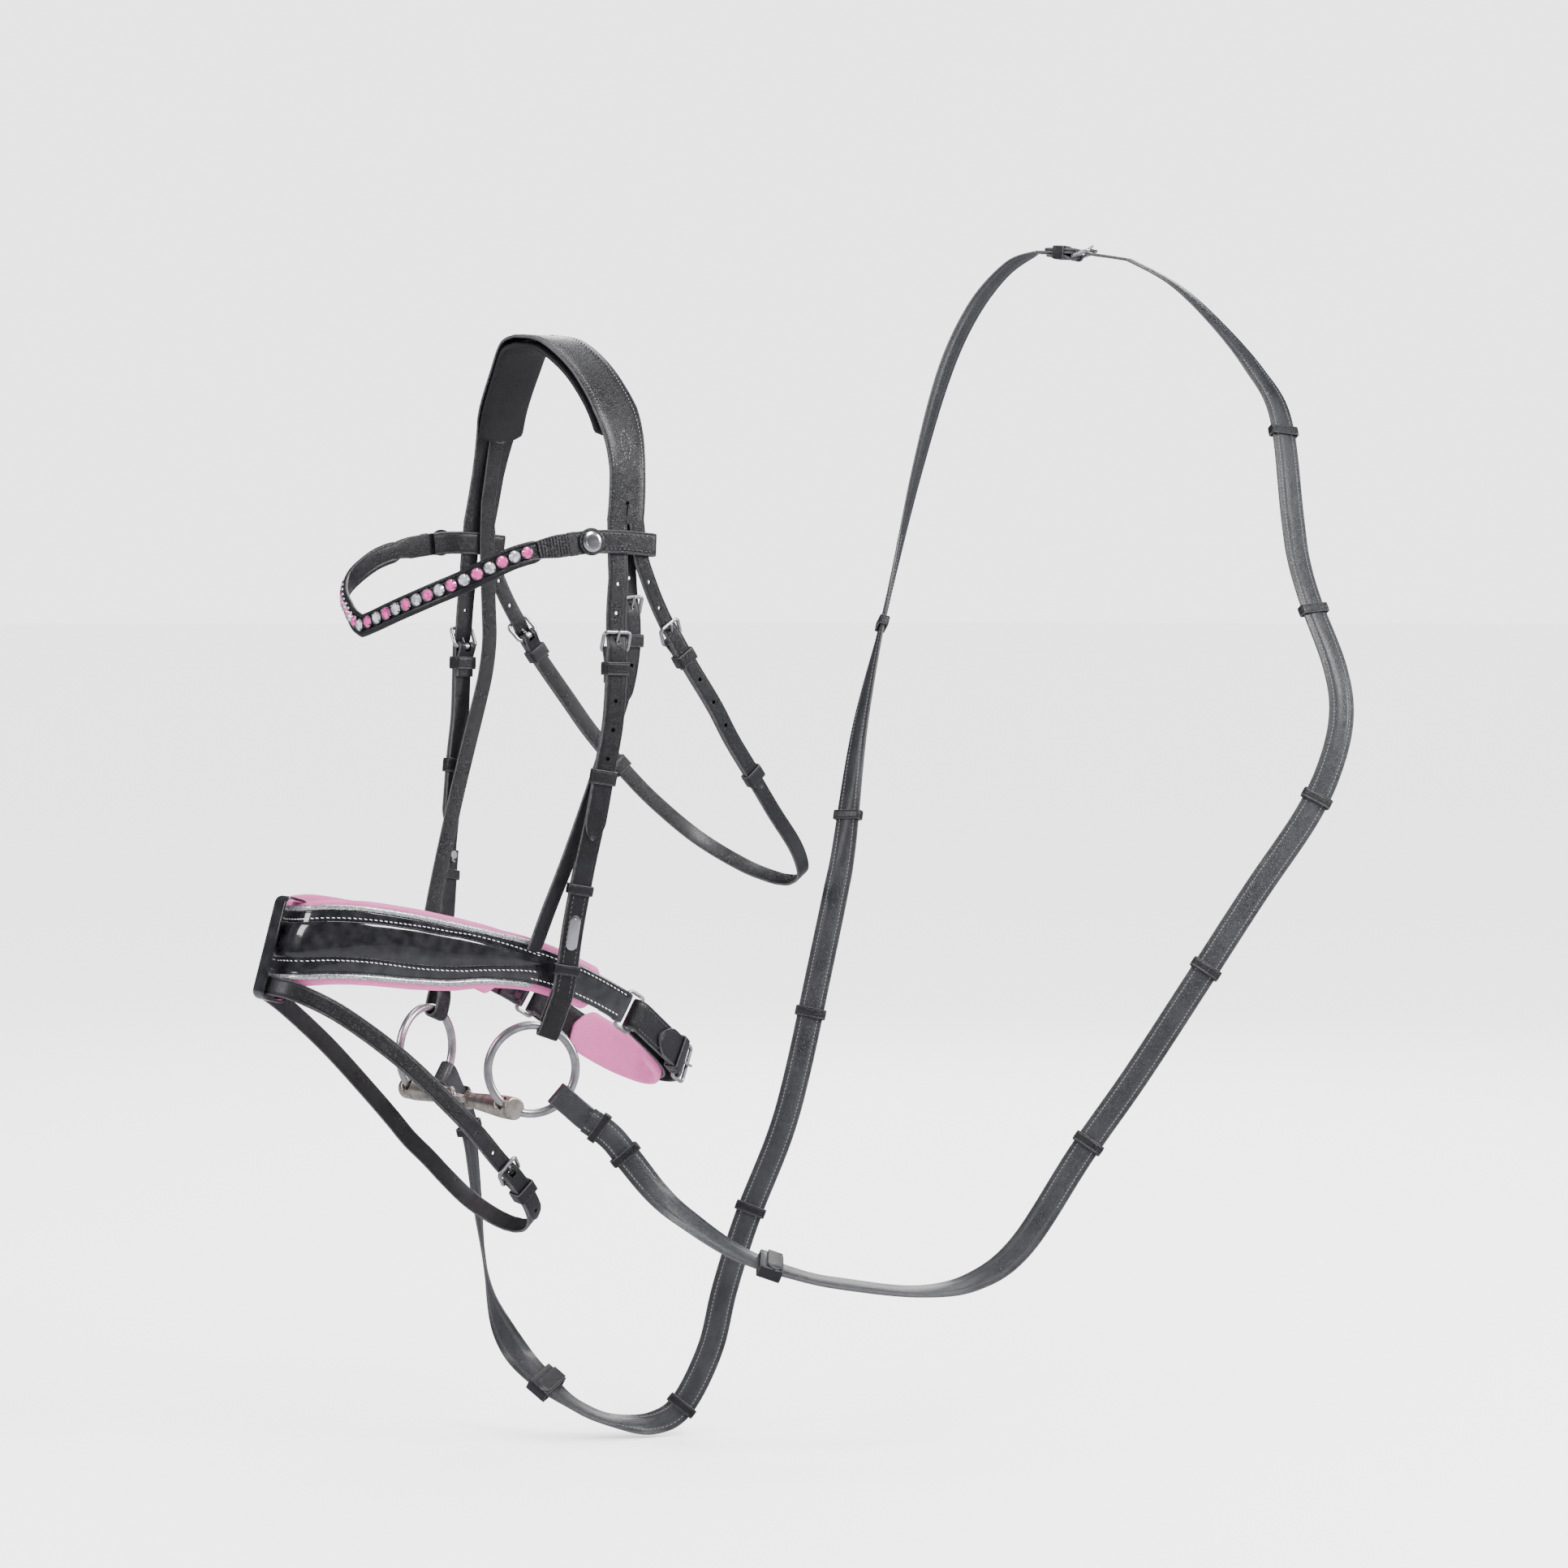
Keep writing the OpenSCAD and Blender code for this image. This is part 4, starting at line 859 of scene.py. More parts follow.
def frame_on(run, s):
    p, across, along, out = run.at([s])
    return [across[0], along[0], out[0], p[0]]


RING_BACK = np.array([math.sin(RING_TURN), math.cos(RING_TURN), 0])
RING_OUT = np.array([math.cos(RING_TURN), -math.sin(RING_TURN), 0])


def radial(a):
    a = math.radians(a)
    return math.sin(a) * RING_BACK + np.array([0, 0, math.cos(a)])


def on_ring(a):
    return RING_CENTRE + RING_R * radial(a)


def loop_frame(a, away, room):
    along = unit(away)
    across = unit(np.cross(along, RING_OUT))
    return [across, along, np.cross(across, along), on_ring(a) - along * room]


REIN_TAIL = 0.046
TAIL_UNDER = REIN_T / 2 + STRAP_T / 2 + 0.0004


def rein_loop(name, path):
    """Rein leather round the ring, its tail returned under the rein."""
    run = Run(path)
    f = loop_frame(134, [0.47, 0.6, -0.64], 0.0018)
    if path[0][0][0] < 0:
        f = [flip(v) for v in f]
    start = frame_on(run, 0.004)
    near = path[0][0]
    across = f[0] if np.dot(start[0], f[0]) > 0 else -f[0]
    hug = RING_WIRE / 2 + 0.0009 + STRAP_T / 2
    around = [(f[3] + f[2] * hug * math.cos(a) - f[1] * hug * math.sin(a), across)
              for a in np.radians(np.arange(0, 181, 10))]
    tail = []
    for d in np.arange(0.002, REIN_TAIL, 0.006):
        q = frame_on(run, d)
        tail.append((q[3] - q[2] * TAIL_UNDER, q[0]))
    line = ([(near - start[1] * 0.0002, start[0]), (near - start[1] * 0.004, start[0]),
             (f[3] + f[2] * hug + f[1] * 0.005, across)] + around
            + [(f[3] - f[2] * hug + f[1] * 0.005, across)] + tail)
    return ribbon(name, eased(line), REIN_W - 0.002, STRAP_T, STRAP, tip=0.008)


def rein_band(name, run, s, length, heights=(-REIN_T / 2, REIN_T / 2), room=0.0006):
    f = lifted(frame_on(run, s), sum(heights) / 2)
    return band(name, f, REIN_W + 2 * room, heights[1] - heights[0] + 2 * room, length, 0.0013)


def make_rein(side, points, faces, first_stop, martingale):
    """One rein with its loop, keepers and stops."""
    path = faced(points, faces)
    run = Run(path)
    grip = (first_stop - 0.04, first_stop + (STOPS_ON_REIN - 1) * STOP_PITCH + 0.06)
    thick = [(grip[0] - 0.02, REIN_THIN_T), (grip[0], REIN_T), (grip[1], REIN_T),
             (grip[1] + 0.02, REIN_THIN_T)]
    rein = ribbon("rein_" + side, resampled(path, 0.003), REIN_W, lambda s: lookup(s, thick), rein_section())
    settle(rein, FINISH["rein"], nodes=["rein_" + side])
    loop = rein_loop("rein_loop_" + side, path)
    settle(loop, FINISH["rein"], nodes=["rein_loop_" + side])
    keepers = joined("rein_keepers_" + side,
                     [rein_band("keeper", run, s, 0.006, (-TAIL_UNDER - STRAP_T / 2, REIN_T / 2))
                                              for s in (0.01, 0.036)])
    settle(keepers, FINISH["leather"], nodes=["rein_keepers"])
    stops = joined("hand_stops_" + side,
                   [rein_band("stop", run, first_stop + STOP_PITCH * i, 0.007) for i in range(STOPS_ON_REIN)])
    settle(stops, FINISH["leather"], nodes=["hand_stops"])
    f = frame_on(run, martingale)
    collar = band("collar", f, REIN_W + 0.0032, REIN_T + 0.0032, 0.017, 0.0013)
    across = [(f[3] + f[2] * (REIN_T / 2 + 0.0035) + f[0] * k + f[1] * 0.002, f[1]) for k in
              np.linspace(-0.0118, 0.0118, 12)]
    flap = ribbon("flap", across, 0.011, 0.0012, PLAIN, tip=0.005)
    martingale_stop = settle(joined("martingale_stop_" + side, [collar, flap]), FINISH["leather"],
                             nodes=["martingale_stops"])
    edge = REIN_W / 2 - 0.0036
    rows = []
    for offset in (edge, -edge):
        rows += [(path, offset, REIN_STITCH_LIFT, 0.002, 0.062),
                 (path, offset, REIN_STITCH_LIFT, grip[0] - 0.01, grip[1] + 0.01),
                 (path, offset, -REIN_STITCH_LIFT, grip[0] - 0.01, grip[1] + 0.01)]
    stitches = thread("rein_stitches_" + side, rows, FINISH["grey"], pitch=0.0028, length=0.002,
                      radius=0.00028)


def make_reins():
    meet = Route(MEET, (-0.5, 0.86, 0), (-0.5, 0.86, 0))
    lower = ribbon("rein_billet_left",
                   eased(fold(meet, MEET_BAR, 0.022) + layer(meet, MEET_BAR, meet.length - 0.0018)),
                   0.015, STRAP_T, STRAP)
    punch(lower, [slot_block(meet, MEET_BAR)])
    upper = ribbon("rein_billet_right", eased(billet(meet, 0.0018, MEET_BAR, 0.026), 0.012), 0.015,
                   STRAP_T, STRAP, tip=0.012)
    punch(upper, [tongue_rod(meet, MEET_BAR)] + hole_rods(meet, MEET_BAR, [1]))
    for piece in (lower, upper):
        settle(piece, FINISH["rein"], nodes=["rein_ends"])
    keeper = full_keeper("rein_end_keeper", meet, MEET_BAR + 0.012, 0.015)
    settle(keeper, FINISH["leather"], nodes=["rein_keepers"])
    finish_nodes("steel", "rein_buckle", "rein_tongue")
    make_rein("right", RIGHT_REIN, RIGHT_FACE, 0.35, 0.24)
    make_rein("left", LEFT_REIN, LEFT_FACE, 0.44, 0.165)


# ---- crown, sliphead and throatlash ---------------------------------------------------------
def routes():
    """Every route of the headpiece by name."""
    nose_down = (0, -0.28, -0.96)
    made = dict(
        cheek=Route(CHEEK, (0, -1, 0), (-0.3, -0.9, 0.3)),
        throat=Route(THROAT, (0, -0.8, -0.6), (0, -0.8, -0.6)),
        hanger=Route(HANGER, (0, -1, 0), (0, -1, -0.3)),
        brow=Route(BROW, (0, 0, -1), (0.08, 0, -1)),
        nose=Route(NOSE, nose_down, nose_down),
        flash=Route(FLASH, (0, -0.35, -0.94), (0, -0.75, -0.66)),
    )
    return made


CHEEK_SHIFT = ((SLIT_AT, THROAT_W / 2 + 0.0005), (SLIT_AT + 0.04, 0))
SLIPHEAD_LIFT = -STRAP_T / 2 - 2 * LAYER_GAP - SLIPHEAD_T / 2
PAD_LIFT = SLIPHEAD_LIFT - SLIPHEAD_T / 2 - 2 * LAYER_GAP - CROWN_PAD_T / 2


def crown_width(s):
    return lookup(s, [(0, CROWN_W), (0.1, CROWN_W), (0.13, CHEEK_W + THROAT_W + 0.003),
                      (0.145, CHEEK_W + THROAT_W + 0.001)])


def make_crown(r):
    """Crown strap with its billets, its stitching and the padding below."""
    cheek, throat = r["cheek"], r["throat"]
    end = SLIT_AT + 0.002
    path = both_sides(layer(cheek, 0, end))
    half = distances([q[0] for q in path])[-1] / 2
    crown = ribbon("crown_strap", path, lambda s: crown_width(abs(s - half)), STRAP_T,
                   strap_section(0.0016, 0.0002, 0.0002))
    slits = []
    for side in (1, -1):
        f = cheek.frame(SLIT_AT - 0.012)
        slits.append(rod(f, 0.0015, 0.009))
        slits.append(block(cheek.frame(SLIT_AT), (-0.0004, -0.012, -0.004), (0.0004, 0.004, 0.004)))
        if side < 0:
            for obj in slits[-2:]:
                obj.data.transform(Matrix.Diagonal((-1, 1, 1, 1)))
                obj.data.flip_normals()
    punch(crown, slits)
    settle(crown, FINISH["crown"], nodes=["crown_leather"])
    for name, route, width, path, bar, tip in (
            ("cheek_billet", cheek, CHEEK_W, billet(cheek, SLIT_AT - 0.004, CHEEK_BAR, 0.131, CHEEK_SHIFT),
             CHEEK_BAR, 0.014),
            ("throat_billet", throat, THROAT_W, billet(throat, 0, THROAT_BAR, 0.134), THROAT_BAR, 0.012)):
        piece = ribbon(name + "_left", eased(path, tip), width, STRAP_T, STRAP, tip=tip)
        punch(piece, [tongue_rod(route, bar)] + hole_rods(route, bar, (-2, -1, 2, 3, 4)))
        settle(piece, FINISH["leather"], nodes=["crown_leather"])
        settle(mirror_piece(piece, name + "_right"), FINISH["leather"],
               nodes=["crown_leather"])
    line = layer(cheek, 0, 0.15)
    row, turned, peak = CROWN_W / 2 - 0.0044, 0.1425, 0.1355

    def edge_row(s):
        return lookup(s, [(0.1, row), (turned, 0.0112)])

    def chevron(s):
        return lookup(s, [(peak, 0.0006), (turned, 0.0105)])

    def almond(s):
        return 0.0036 * math.sin(math.pi * (s - 0.116) / (peak - 0.116)) ** 0.8

    high = STRAP_T / 2 + 0.0003
    rows = []
    for k in (1, -1):
        rows += [(line, lambda s, k=k: k * edge_row(s), high, 0.001, turned),
                 (line, lambda s, k=k: k * chevron(s), high, peak + 0.0005, turned),
                 (line, lambda s, k=k: k * almond(s), high, 0.1166, peak - 0.0004)]
    stitches = thread("crown_stitches", rows, FINISH["grey"], pitch=0.0027, length=0.0019)
    settle(with_mirror(stitches), FINISH["grey"])
    padding = ribbon("crown_padding", both_sides(layer(cheek, 0, 0.118, [(0, PAD_LIFT)])), CROWN_W + 0.001,
                     CROWN_PAD_T + 0.0006, padded_section(0.35), tip=0.006, first_tip=0.006)
    settle(padding, FINISH["lining"], nodes=["crown_padding"])


def make_sliphead(r):
    """Sliphead, and the hanger that it buckles to."""
    cheek, hanger = r["cheek"], r["hanger"]
    top = [(0, SLIPHEAD_LIFT), (0.12, SLIPHEAD_LIFT), (0.15, SLIPHEAD_LIFT - 0.0026)]
    over = layer(cheek, 0, 0.15, top)
    path = (mirrored(layer(hanger, 0, hanger.length - 0.004)) + both_sides(over)
            + billet(hanger, 0, HANGER_BAR, 0.062))
    strap = ribbon("sliphead", eased(path, 0.012), HANGER_W, SLIPHEAD_T, STRAP, tip=0.012)
    punch(strap, [tongue_rod(hanger, HANGER_BAR)] + hole_rods(hanger, HANGER_BAR, (-1, 2)))
    settle(strap, FINISH["leather"], nodes=["sliphead"])
    lower = ribbon("hanger_strap", eased(fold(hanger, HANGER_BAR, 0.02) + layer(hanger, HANGER_BAR,
                   hanger.length - 0.004)), HANGER_W, STRAP_T, STRAP)
    punch(lower, [slot_block(hanger, HANGER_BAR)])
    settle(lower, FINISH["leather"], nodes=["hanger_strap"])
    keeper = full_keeper("hanger_keeper", hanger, HANGER_BAR + 0.017, HANGER_W)
    settle(keeper, FINISH["leather"], nodes=["fixed_keepers"])
    finish_nodes("steel", "hanger_buckle", "hanger_tongue")


def make_throatlash(r):
    throat = r["throat"]
    near = eased(fold(throat, THROAT_BAR, 0.022) + layer(throat, THROAT_BAR, throat.length - 0.004))
    strap = ribbon("throatlash", near + mirrored(near), THROAT_W, STRAP_T, STRAP)
    cut = slot_block(throat, THROAT_BAR)
    punch(strap, [cut, mirror_piece(cut)])
    settle(strap, FINISH["leather"], nodes=["throatlash"])
    keepers = with_mirror(full_keeper("throat_keepers", throat, THROAT_BAR + 0.015, THROAT_W))
    settle(keepers, FINISH["leather"], nodes=["fixed_keepers"])
    runner = keeper_at("throat_runner_near", throat, THROAT_BAR + 0.122, THROAT_W, -STRAP_T / 2,
                       LAP + STRAP_T / 2, 0.01)
    for side, piece in (("left", runner), ("right", mirror_piece(runner, "throat_runner_off"))):
        settle(piece, FINISH["leather"], "throat_runner_" + side, ["throat_runner_" + side])
    finish_nodes("steel",
                 *[f"throat_{part}_{side}" for part in ("buckle", "tongue") for side in ("left", "right")])


# ---- cheekpieces ----------------------------------------------------------------------------
def make_cheekpieces(r):
    """Cheekpieces with their loops on the bit, plates, studs, keepers and runners."""
    cheek = r["cheek"]
    f = loop_frame(24, radial(20), 0.0015)
    hug = RING_WIRE / 2 + 0.0006 + STRAP_T / 2
    side = -f[0]
    around = [(f[3] + f[2] * hug * math.cos(a) - f[1] * hug * math.sin(a), side)
              for a in np.radians(np.arange(0, 181, 10))]
    legs = [(f[3] + f[2] * k * hug + f[1] * 0.01, side) for k in (1, -1)]
    hook_end = 0.418
    outer = fold(cheek, CHEEK_BAR, 0.022) + layer(cheek, CHEEK_BAR, cheek.length)
    tail = layer(cheek, cheek.length - 0.006, hook_end, [(0, -LAP)])
    path = eased(outer + [legs[0]] + around + [legs[1]] + tail)
    piece = ribbon("cheekpiece_left", path, CHEEK_W, STRAP_T, STRAP)
    punch(piece, [slot_block(cheek, CHEEK_BAR)])
    settle(piece, FINISH["leather"], nodes=["cheekpiece_left"])
    settle(mirror_piece(piece, "cheekpiece_right"), FINISH["leather"],
           nodes=["cheekpiece_right"])
    line = layer(cheek, 0.44, cheek.length)
    rows = [(line, k * (CHEEK_W / 2 - 0.0034), STRAP_T / 2 + 0.0002, 0.002, None) for k in (1, -1)]
    stitches = thread("cheek_stitches", rows, FINISH["black"])
    settle(with_mirror(stitches), FINISH["black"])
    keepers = joined("cheek_keepers", [full_keeper("keeper", cheek, CHEEK_BAR + 0.012, CHEEK_W)] + [
        keeper_at("keeper", cheek, s, CHEEK_W, -LAP - STRAP_T / 2, STRAP_T / 2,
                  0.007) for s in (0.436, 0.492)])
    settle(with_mirror(keepers), FINISH["leather"], nodes=["fixed_keepers"])
    runner = keeper_at("cheek_runner_near", cheek, CHEEK_BAR + 0.087, CHEEK_W, -STRAP_T / 2,
                       LAP + STRAP_T / 2, 0.01)
    for side, loop in (("left", runner), ("right", mirror_piece(runner, "cheek_runner_off"))):
        settle(loop, FINISH["leather"], "cheek_runner_" + side, ["cheek_runner_" + side])
    finish_nodes("steel",
                 *[f"cheek_{part}_{side}" for part in ("buckle", "tongue") for side in ("left", "right")])
    finish_nodes("steel", "cheek_hook_studs")
    plate = with_mirror(make_plate(lifted(cheek.frame(0.466), STRAP_T / 2 + 0.00035)))
    settle(plate, FINISH["polished"], nodes=["nameplates"])


def make_plate(f):
    """Blank domed plate with round ends and a pin at each."""
    width, length, thick = 0.008, 0.024, 0.001
    deselect()
    bpy.ops.mesh.primitive_cylinder_add(vertices=40, radius=width / 2, depth=thick)
    plate = bpy.context.object
    plate.name = "plate"
    mesh = plate.data
    for v in mesh.vertices:
        v.co.y += math.copysign((length - width) / 2, v.co.y) if abs(v.co.y) > 1e-6 else 0
        v.co.z += thick / 2
    choose(plate)
    bpy.ops.object.mode_set(mode="EDIT")
    bm = bmesh.from_edit_mesh(mesh)
    for face in bm.faces:
        face.select = face.normal.z > 0.9
    bmesh.update_edit_mesh(mesh)
    bpy.ops.mesh.inset(thickness=0.0007, depth=0.00025)
    bpy.ops.mesh.inset(thickness=0.0008, depth=0.0001)
    bpy.ops.object.mode_set(mode="OBJECT")
    pins = []
    for k in (1, -1):
        bpy.ops.mesh.primitive_uv_sphere_add(segments=16, ring_count=8, radius=0.0008)
        pin = bpy.context.object
        pin.data.transform(Matrix.Translation((0, k * 0.0094, thick + 0.0001)) @ Matrix.Diagonal((1,
                                                                                                  1, 0.5, 1)))
        pins.append(pin)
    plate = joined("nameplates", [plate] + pins)
    plate.data.transform(matrix_of(f))
    outward(plate.data)
    return smooth(plate, 30)


# ---- browband -------------------------------------------------------------------------------
BAND_T = 0.002
BROW_GAP = STRAP_T + BAND_T + 0.0016
CHANNEL_END = STONE_PITCH * (STONES_EACH_SIDE + 0.6)


def beside(path, offset, lift):
    """The path moved across and outward; offset is a number or a function of distance."""
    run = Run(path)
    side = np.array([offset(s) if callable(offset) else offset for s in run.far])
    p = run.p + run.across * side[:, None] + run.out * lift
    return list(zip(p, run.across))


def both_from_middle(route, end, step=0.0025):
    return both_sides(layer(route, 0, end, step=step))


def make_browband(r):
    """Band with its channel of crystals, embossed ends, loops and snaps."""
    brow = r["brow"]
    end = brow.length
    snap_at = end - 0.049
    around = turn(lifted(brow.frame(end), -BROW_GAP / 2), BROW_GAP / 2, 1, 1)
    back = layer(brow, end, snap_at - 0.009,
                 [(snap_at, -BAND_T - 2 * LAYER_GAP), (snap_at + 0.012, -BROW_GAP)])
    path = both_sides(layer(brow, 0, end) + around + back)
    half = distances([q[0] for q in path])[-1] / 2

    def width(s):
        s = abs(s - half)
        return lookup(s, [(0, 0.011), (CHANNEL_END + 0.006, 0.011), (CHANNEL_END + 0.016, 0.016)])

    band_piece = ribbon("browband", eased(path), width, BAND_T, STRAP)
    settle(band_piece, FINISH["leather"], nodes=["browband"])
    line = both_from_middle(brow, CHANNEL_END + 0.004)
    rolls = [ribbon("roll", beside(line, offset, 0.0006), wide, 0.0034, padded_section(0.8, 16), tip=0.006,
                    first_tip=0.006) for offset, wide in ((0.0063, 0.0044), (-0.0056, 0.0028))]
    settle(joined("browband_channel", rolls), FINISH["leather"])
    ribbed = layer(brow, CHANNEL_END + 0.003, CHANNEL_END + 0.026, [(0, BAND_T / 2 + 0.0004)], 0.0005)
    middle = 0.0115
    emboss = ribbon("browband_ends", ribbed, lambda s: 0.0125 + 0.003 * min(1, s / middle),
                    lambda s: 0.0016 + 0.0005 * math.sin(2 * math.pi * s / 0.0023), PLAIN)
    collar = ribbon("collar",
                    layer(brow, CHANNEL_END + 0.026, CHANNEL_END + 0.032, [(0, BAND_T / 2 + 0.0005)],
                                    0.001), 0.0166, 0.0017, PLAIN)
    settle(with_mirror(emboss), FINISH["emboss"])
    collar.name = "browband_collars"
    settle(with_mirror(collar), FINISH["leather"])
    loop = layer(brow, snap_at + 0.011, end - 0.001)
    stitches = thread("browband_stitches",
                      [(loop, k * 0.0052, BAND_T / 2 + 0.0002, 0.001, None) for k in (1, -1)],
                      FINISH["black"])
    settle(with_mirror(stitches), FINISH["black"])
    finish_nodes("claws", "crystal_settings")
    gem = make_gem()
    for name, step, finish, slot in (("pink_crystals", 1, "pink_stone", "pink_glass"),
                                     ("clear_crystals", 0, "clear_stone", "clear_glass")):
        stones = []
        for i in range(-STONES_EACH_SIDE, STONES_EACH_SIDE + 1):
            if abs(i) % 2 == step:
                mesh = gem.data.copy()
                mesh.transform(matrix_of(lifted(brow.frame(abs(i) * STONE_PITCH), BAND_T / 2 + 0.00015)))
                stones.append(link("stone", mesh))
                if i < 0:
                    mesh.transform(Matrix.Diagonal((-1, 1, 1, 1)))
                    mesh.flip_normals()
        settle(joined(name, stones), FINISH[finish], nodes=[name])
    bpy.data.objects.remove(gem)
    rims, discs = make_snap(lifted(brow.frame(snap_at), BAND_T / 2 + 0.00025))
    settle(with_mirror(rims), FINISH["leather"], nodes=["browband_snaps"])
    settle(with_mirror(discs), FINISH["polished"], nodes=["browband_snaps"])


def make_gem():
    """Round cut stone: eight-sided table, three-cornered crown facets and a girdle."""
    deselect()
    bpy.ops.mesh.primitive_cone_add(vertices=16, radius1=0.00385, radius2=0.0022, depth=0.0017)
    gem = bpy.context.object
    gem.name = "gem"
    choose(gem)
    bpy.ops.object.mode_set(mode="EDIT")
    bm = bmesh.from_edit_mesh(gem.data)
    turned = Matrix.Rotation(math.pi / 16, 3, "Z")
    for v in bm.verts:
        if v.co.z > 0:
            v.co = turned @ v.co
    for face in bm.faces:
        face.select = face.normal.z < -0.9
    bmesh.update_edit_mesh(gem.data)
    bpy.ops.mesh.extrude_region_move(TRANSFORM_OT_translate={"value": (0, 0, -0.0013)})
    bpy.ops.mesh.select_all(action="SELECT")
    bpy.ops.mesh.quads_convert_to_tris()
    bpy.ops.object.mode_set(mode="OBJECT")
    gem.data.transform(Matrix.Translation((0, 0, 0.0028)))
    outward(gem.data)
    return gem


def make_snap(f):
    """Black rim washer and the silver cap that sits in it."""
    made = []
    for name, radius, depth, insets in (
            ("snap_rims", 0.0095, 0.0011, ((0.0008, 0.0003), (0.0012, -0.0003))),
            ("snap_caps", 0.0072, 0.0021, ((0.0006, 0.0004), (0.0016, 0.0003), (0.0004, -0.0003),
                                           (0.001, 0.0001)))):
        deselect()
        bpy.ops.mesh.primitive_cylinder_add(vertices=48, radius=radius, depth=depth)
        disc = bpy.context.object
        disc.name = name
        choose(disc)
        bpy.ops.object.mode_set(mode="EDIT")
        bm = bmesh.from_edit_mesh(disc.data)
        for face in bm.faces:
            face.select = face.normal.z > 0.9
        bmesh.update_edit_mesh(disc.data)
        for thickness, height in insets:
            bpy.ops.mesh.inset(thickness=thickness, depth=height)
        bpy.ops.object.mode_set(mode="OBJECT")
        disc.data.transform(matrix_of(lifted(f, depth / 2)))
        outward(disc.data)
        made.append(smooth(disc, 35))
    return made


# ---- noseband -------------------------------------------------------------------------------
FRAME_L = 0.014
ROLLER_D = 0.007
TRIM_END = 0.19
RAISED_UP = 0.0018


def nose_width(s):
    return lookup(s, [(0, 0.058), (0.06, 0.057), (0.095, 0.055), (0.125, 0.05), (0.155, 0.04), (0.185, 0.035),
                      (0.215, 0.032), (NOSE_BAR, CRANK_W + 0.008)])


def shell_width(s):
    return lookup(s,
                  [(0, 0.044), (0.06, 0.043), (0.095, 0.041), (0.125, 0.037), (0.155, 0.029), (0.185, 0.025),
                      (0.215, 0.023), (NOSE_BAR - 0.012, CRANK_W)])


def raised_width(s):
    return lookup(s / TRIM_END, [(0, 0.0245), (0.55, 0.0245), (0.72, 0.021), (0.87, 0.0135), (1, 0.007)])


def centred(function, half):
    return lambda s: function(abs(s - half))


def make_noseband(r):
    """Patent shell with its raised centre, glitter piping, stitching and pink padding."""
    nose = r["nose"]
    end = (turn(lifted(nose.frame(NOSE_BAR), -FOLD_R), FOLD_R, 1, 1)
           + layer(nose, NOSE_BAR, NOSE_BAR - 0.018, [(NOSE_BAR - 0.008, -SHELL_T - LAYER_GAP),
                                                      (NOSE_BAR, -2 * FOLD_R)]))
    path = both_sides(layer(nose, 0, NOSE_BAR) + end)
    half = distances([q[0] for q in path])[-1] / 2
    shell = ribbon("noseband_shell", eased(path), centred(shell_width, half), SHELL_T,
                   strap_section(0.0018, 0.0001, 0.0002))
    settle(shell, FINISH["patent"], nodes=["noseband_shell"])
    trim = both_from_middle(nose, TRIM_END)
    mid = distances([q[0] for q in trim])[-1] / 2
    raised = ribbon("noseband_raised", beside(trim, -RAISED_UP, SHELL_T / 2 + 0.0011),
                    centred(raised_width, mid),
                    0.0054, padded_section(0.85, 40), tip=0.012, first_tip=0.012)
    settle(raised, FINISH["patent"], nodes=["noseband_raised"])
    pipes = []
    for k in (1, -1):
        line = beside(trim, centred(lambda s, k=k: k * (shell_width(s) + PIPING_D - 0.0002) / 2, mid), 0.0008)
        pipes.append(ribbon("pipe", line, PIPING_D, PIPING_D, padded_section(1.0, 16), tip=0.006,
                            first_tip=0.006))
    settle(joined("noseband_piping", pipes), FINISH["glitter"], nodes=["noseband_piping"])
    pad_end = NOSE_BAR - 0.024
    pad_line = both_sides(layer(nose, 0, pad_end, [(0, -SHELL_T / 2 - 0.0012 - NOSE_PAD_T / 2)]))
    pad_half = distances([q[0] for q in pad_line])[-1] / 2
    padding = ribbon("noseband_padding", pad_line, centred(nose_width, pad_half), NOSE_PAD_T + 0.0008,
                     padded_section(0.3, 40), tip=0.008, first_tip=0.008)
    settle(padding, FINISH["pink"], nodes=["noseband_padding"])
    rows = []
    line = layer(nose, 0, TRIM_END)
    for k in (1, -1):
        rows.append((line, lambda s, k=k: k * (raised_width(s) / 2 + 0.0021) - RAISED_UP,
                     SHELL_T / 2 + 0.0003,
                     0.0016, None))
    rear = layer(nose, TRIM_END - 0.004, NOSE_BAR - 0.004)
    for k in (1, -1):
        rows.append((rear, lambda s, k=k: k * (shell_width(TRIM_END - 0.004 + s) / 2 - 0.0032),
                     SHELL_T / 2 + 0.0003, 0.002, None))
    settle(with_mirror(thread("noseband_stitches", rows, FINISH["white"])), FINISH["white"])
    finish_nodes("steel",
                 *[f"crank_{part}_{side}" for part in ("frame", "roller") for side in ("left", "right")])
    finish_nodes("steel", "crank_buckle", "crank_tongue")


def crank_route(r):
    """Line of the crank strap round the chin, with the near roller's frame and its wrap."""
    nose = r["nose"]
    hinge = lifted(nose.frame(NOSE_BAR), -FOLD_R)
    roller = [-hinge[0], -hinge[1], hinge[2], hinge[3] + hinge[1] * FRAME_L]
    wrap = ROLLER_D / 2 + 0.0006 + STRAP_T / 2
    points = [roller[3] + roller[2] * wrap - roller[1] * 0.001]
    points += [q[0] for q in layer(nose, NOSE_BAR + FRAME_L + 0.016, nose.length,
                                   [(0, wrap - FOLD_R)], 0.016)]
    across = (0, 0.28, 0.96)
    return Route([flip(p) for p in points] + points[-2::-1], across, across), roller, wrap


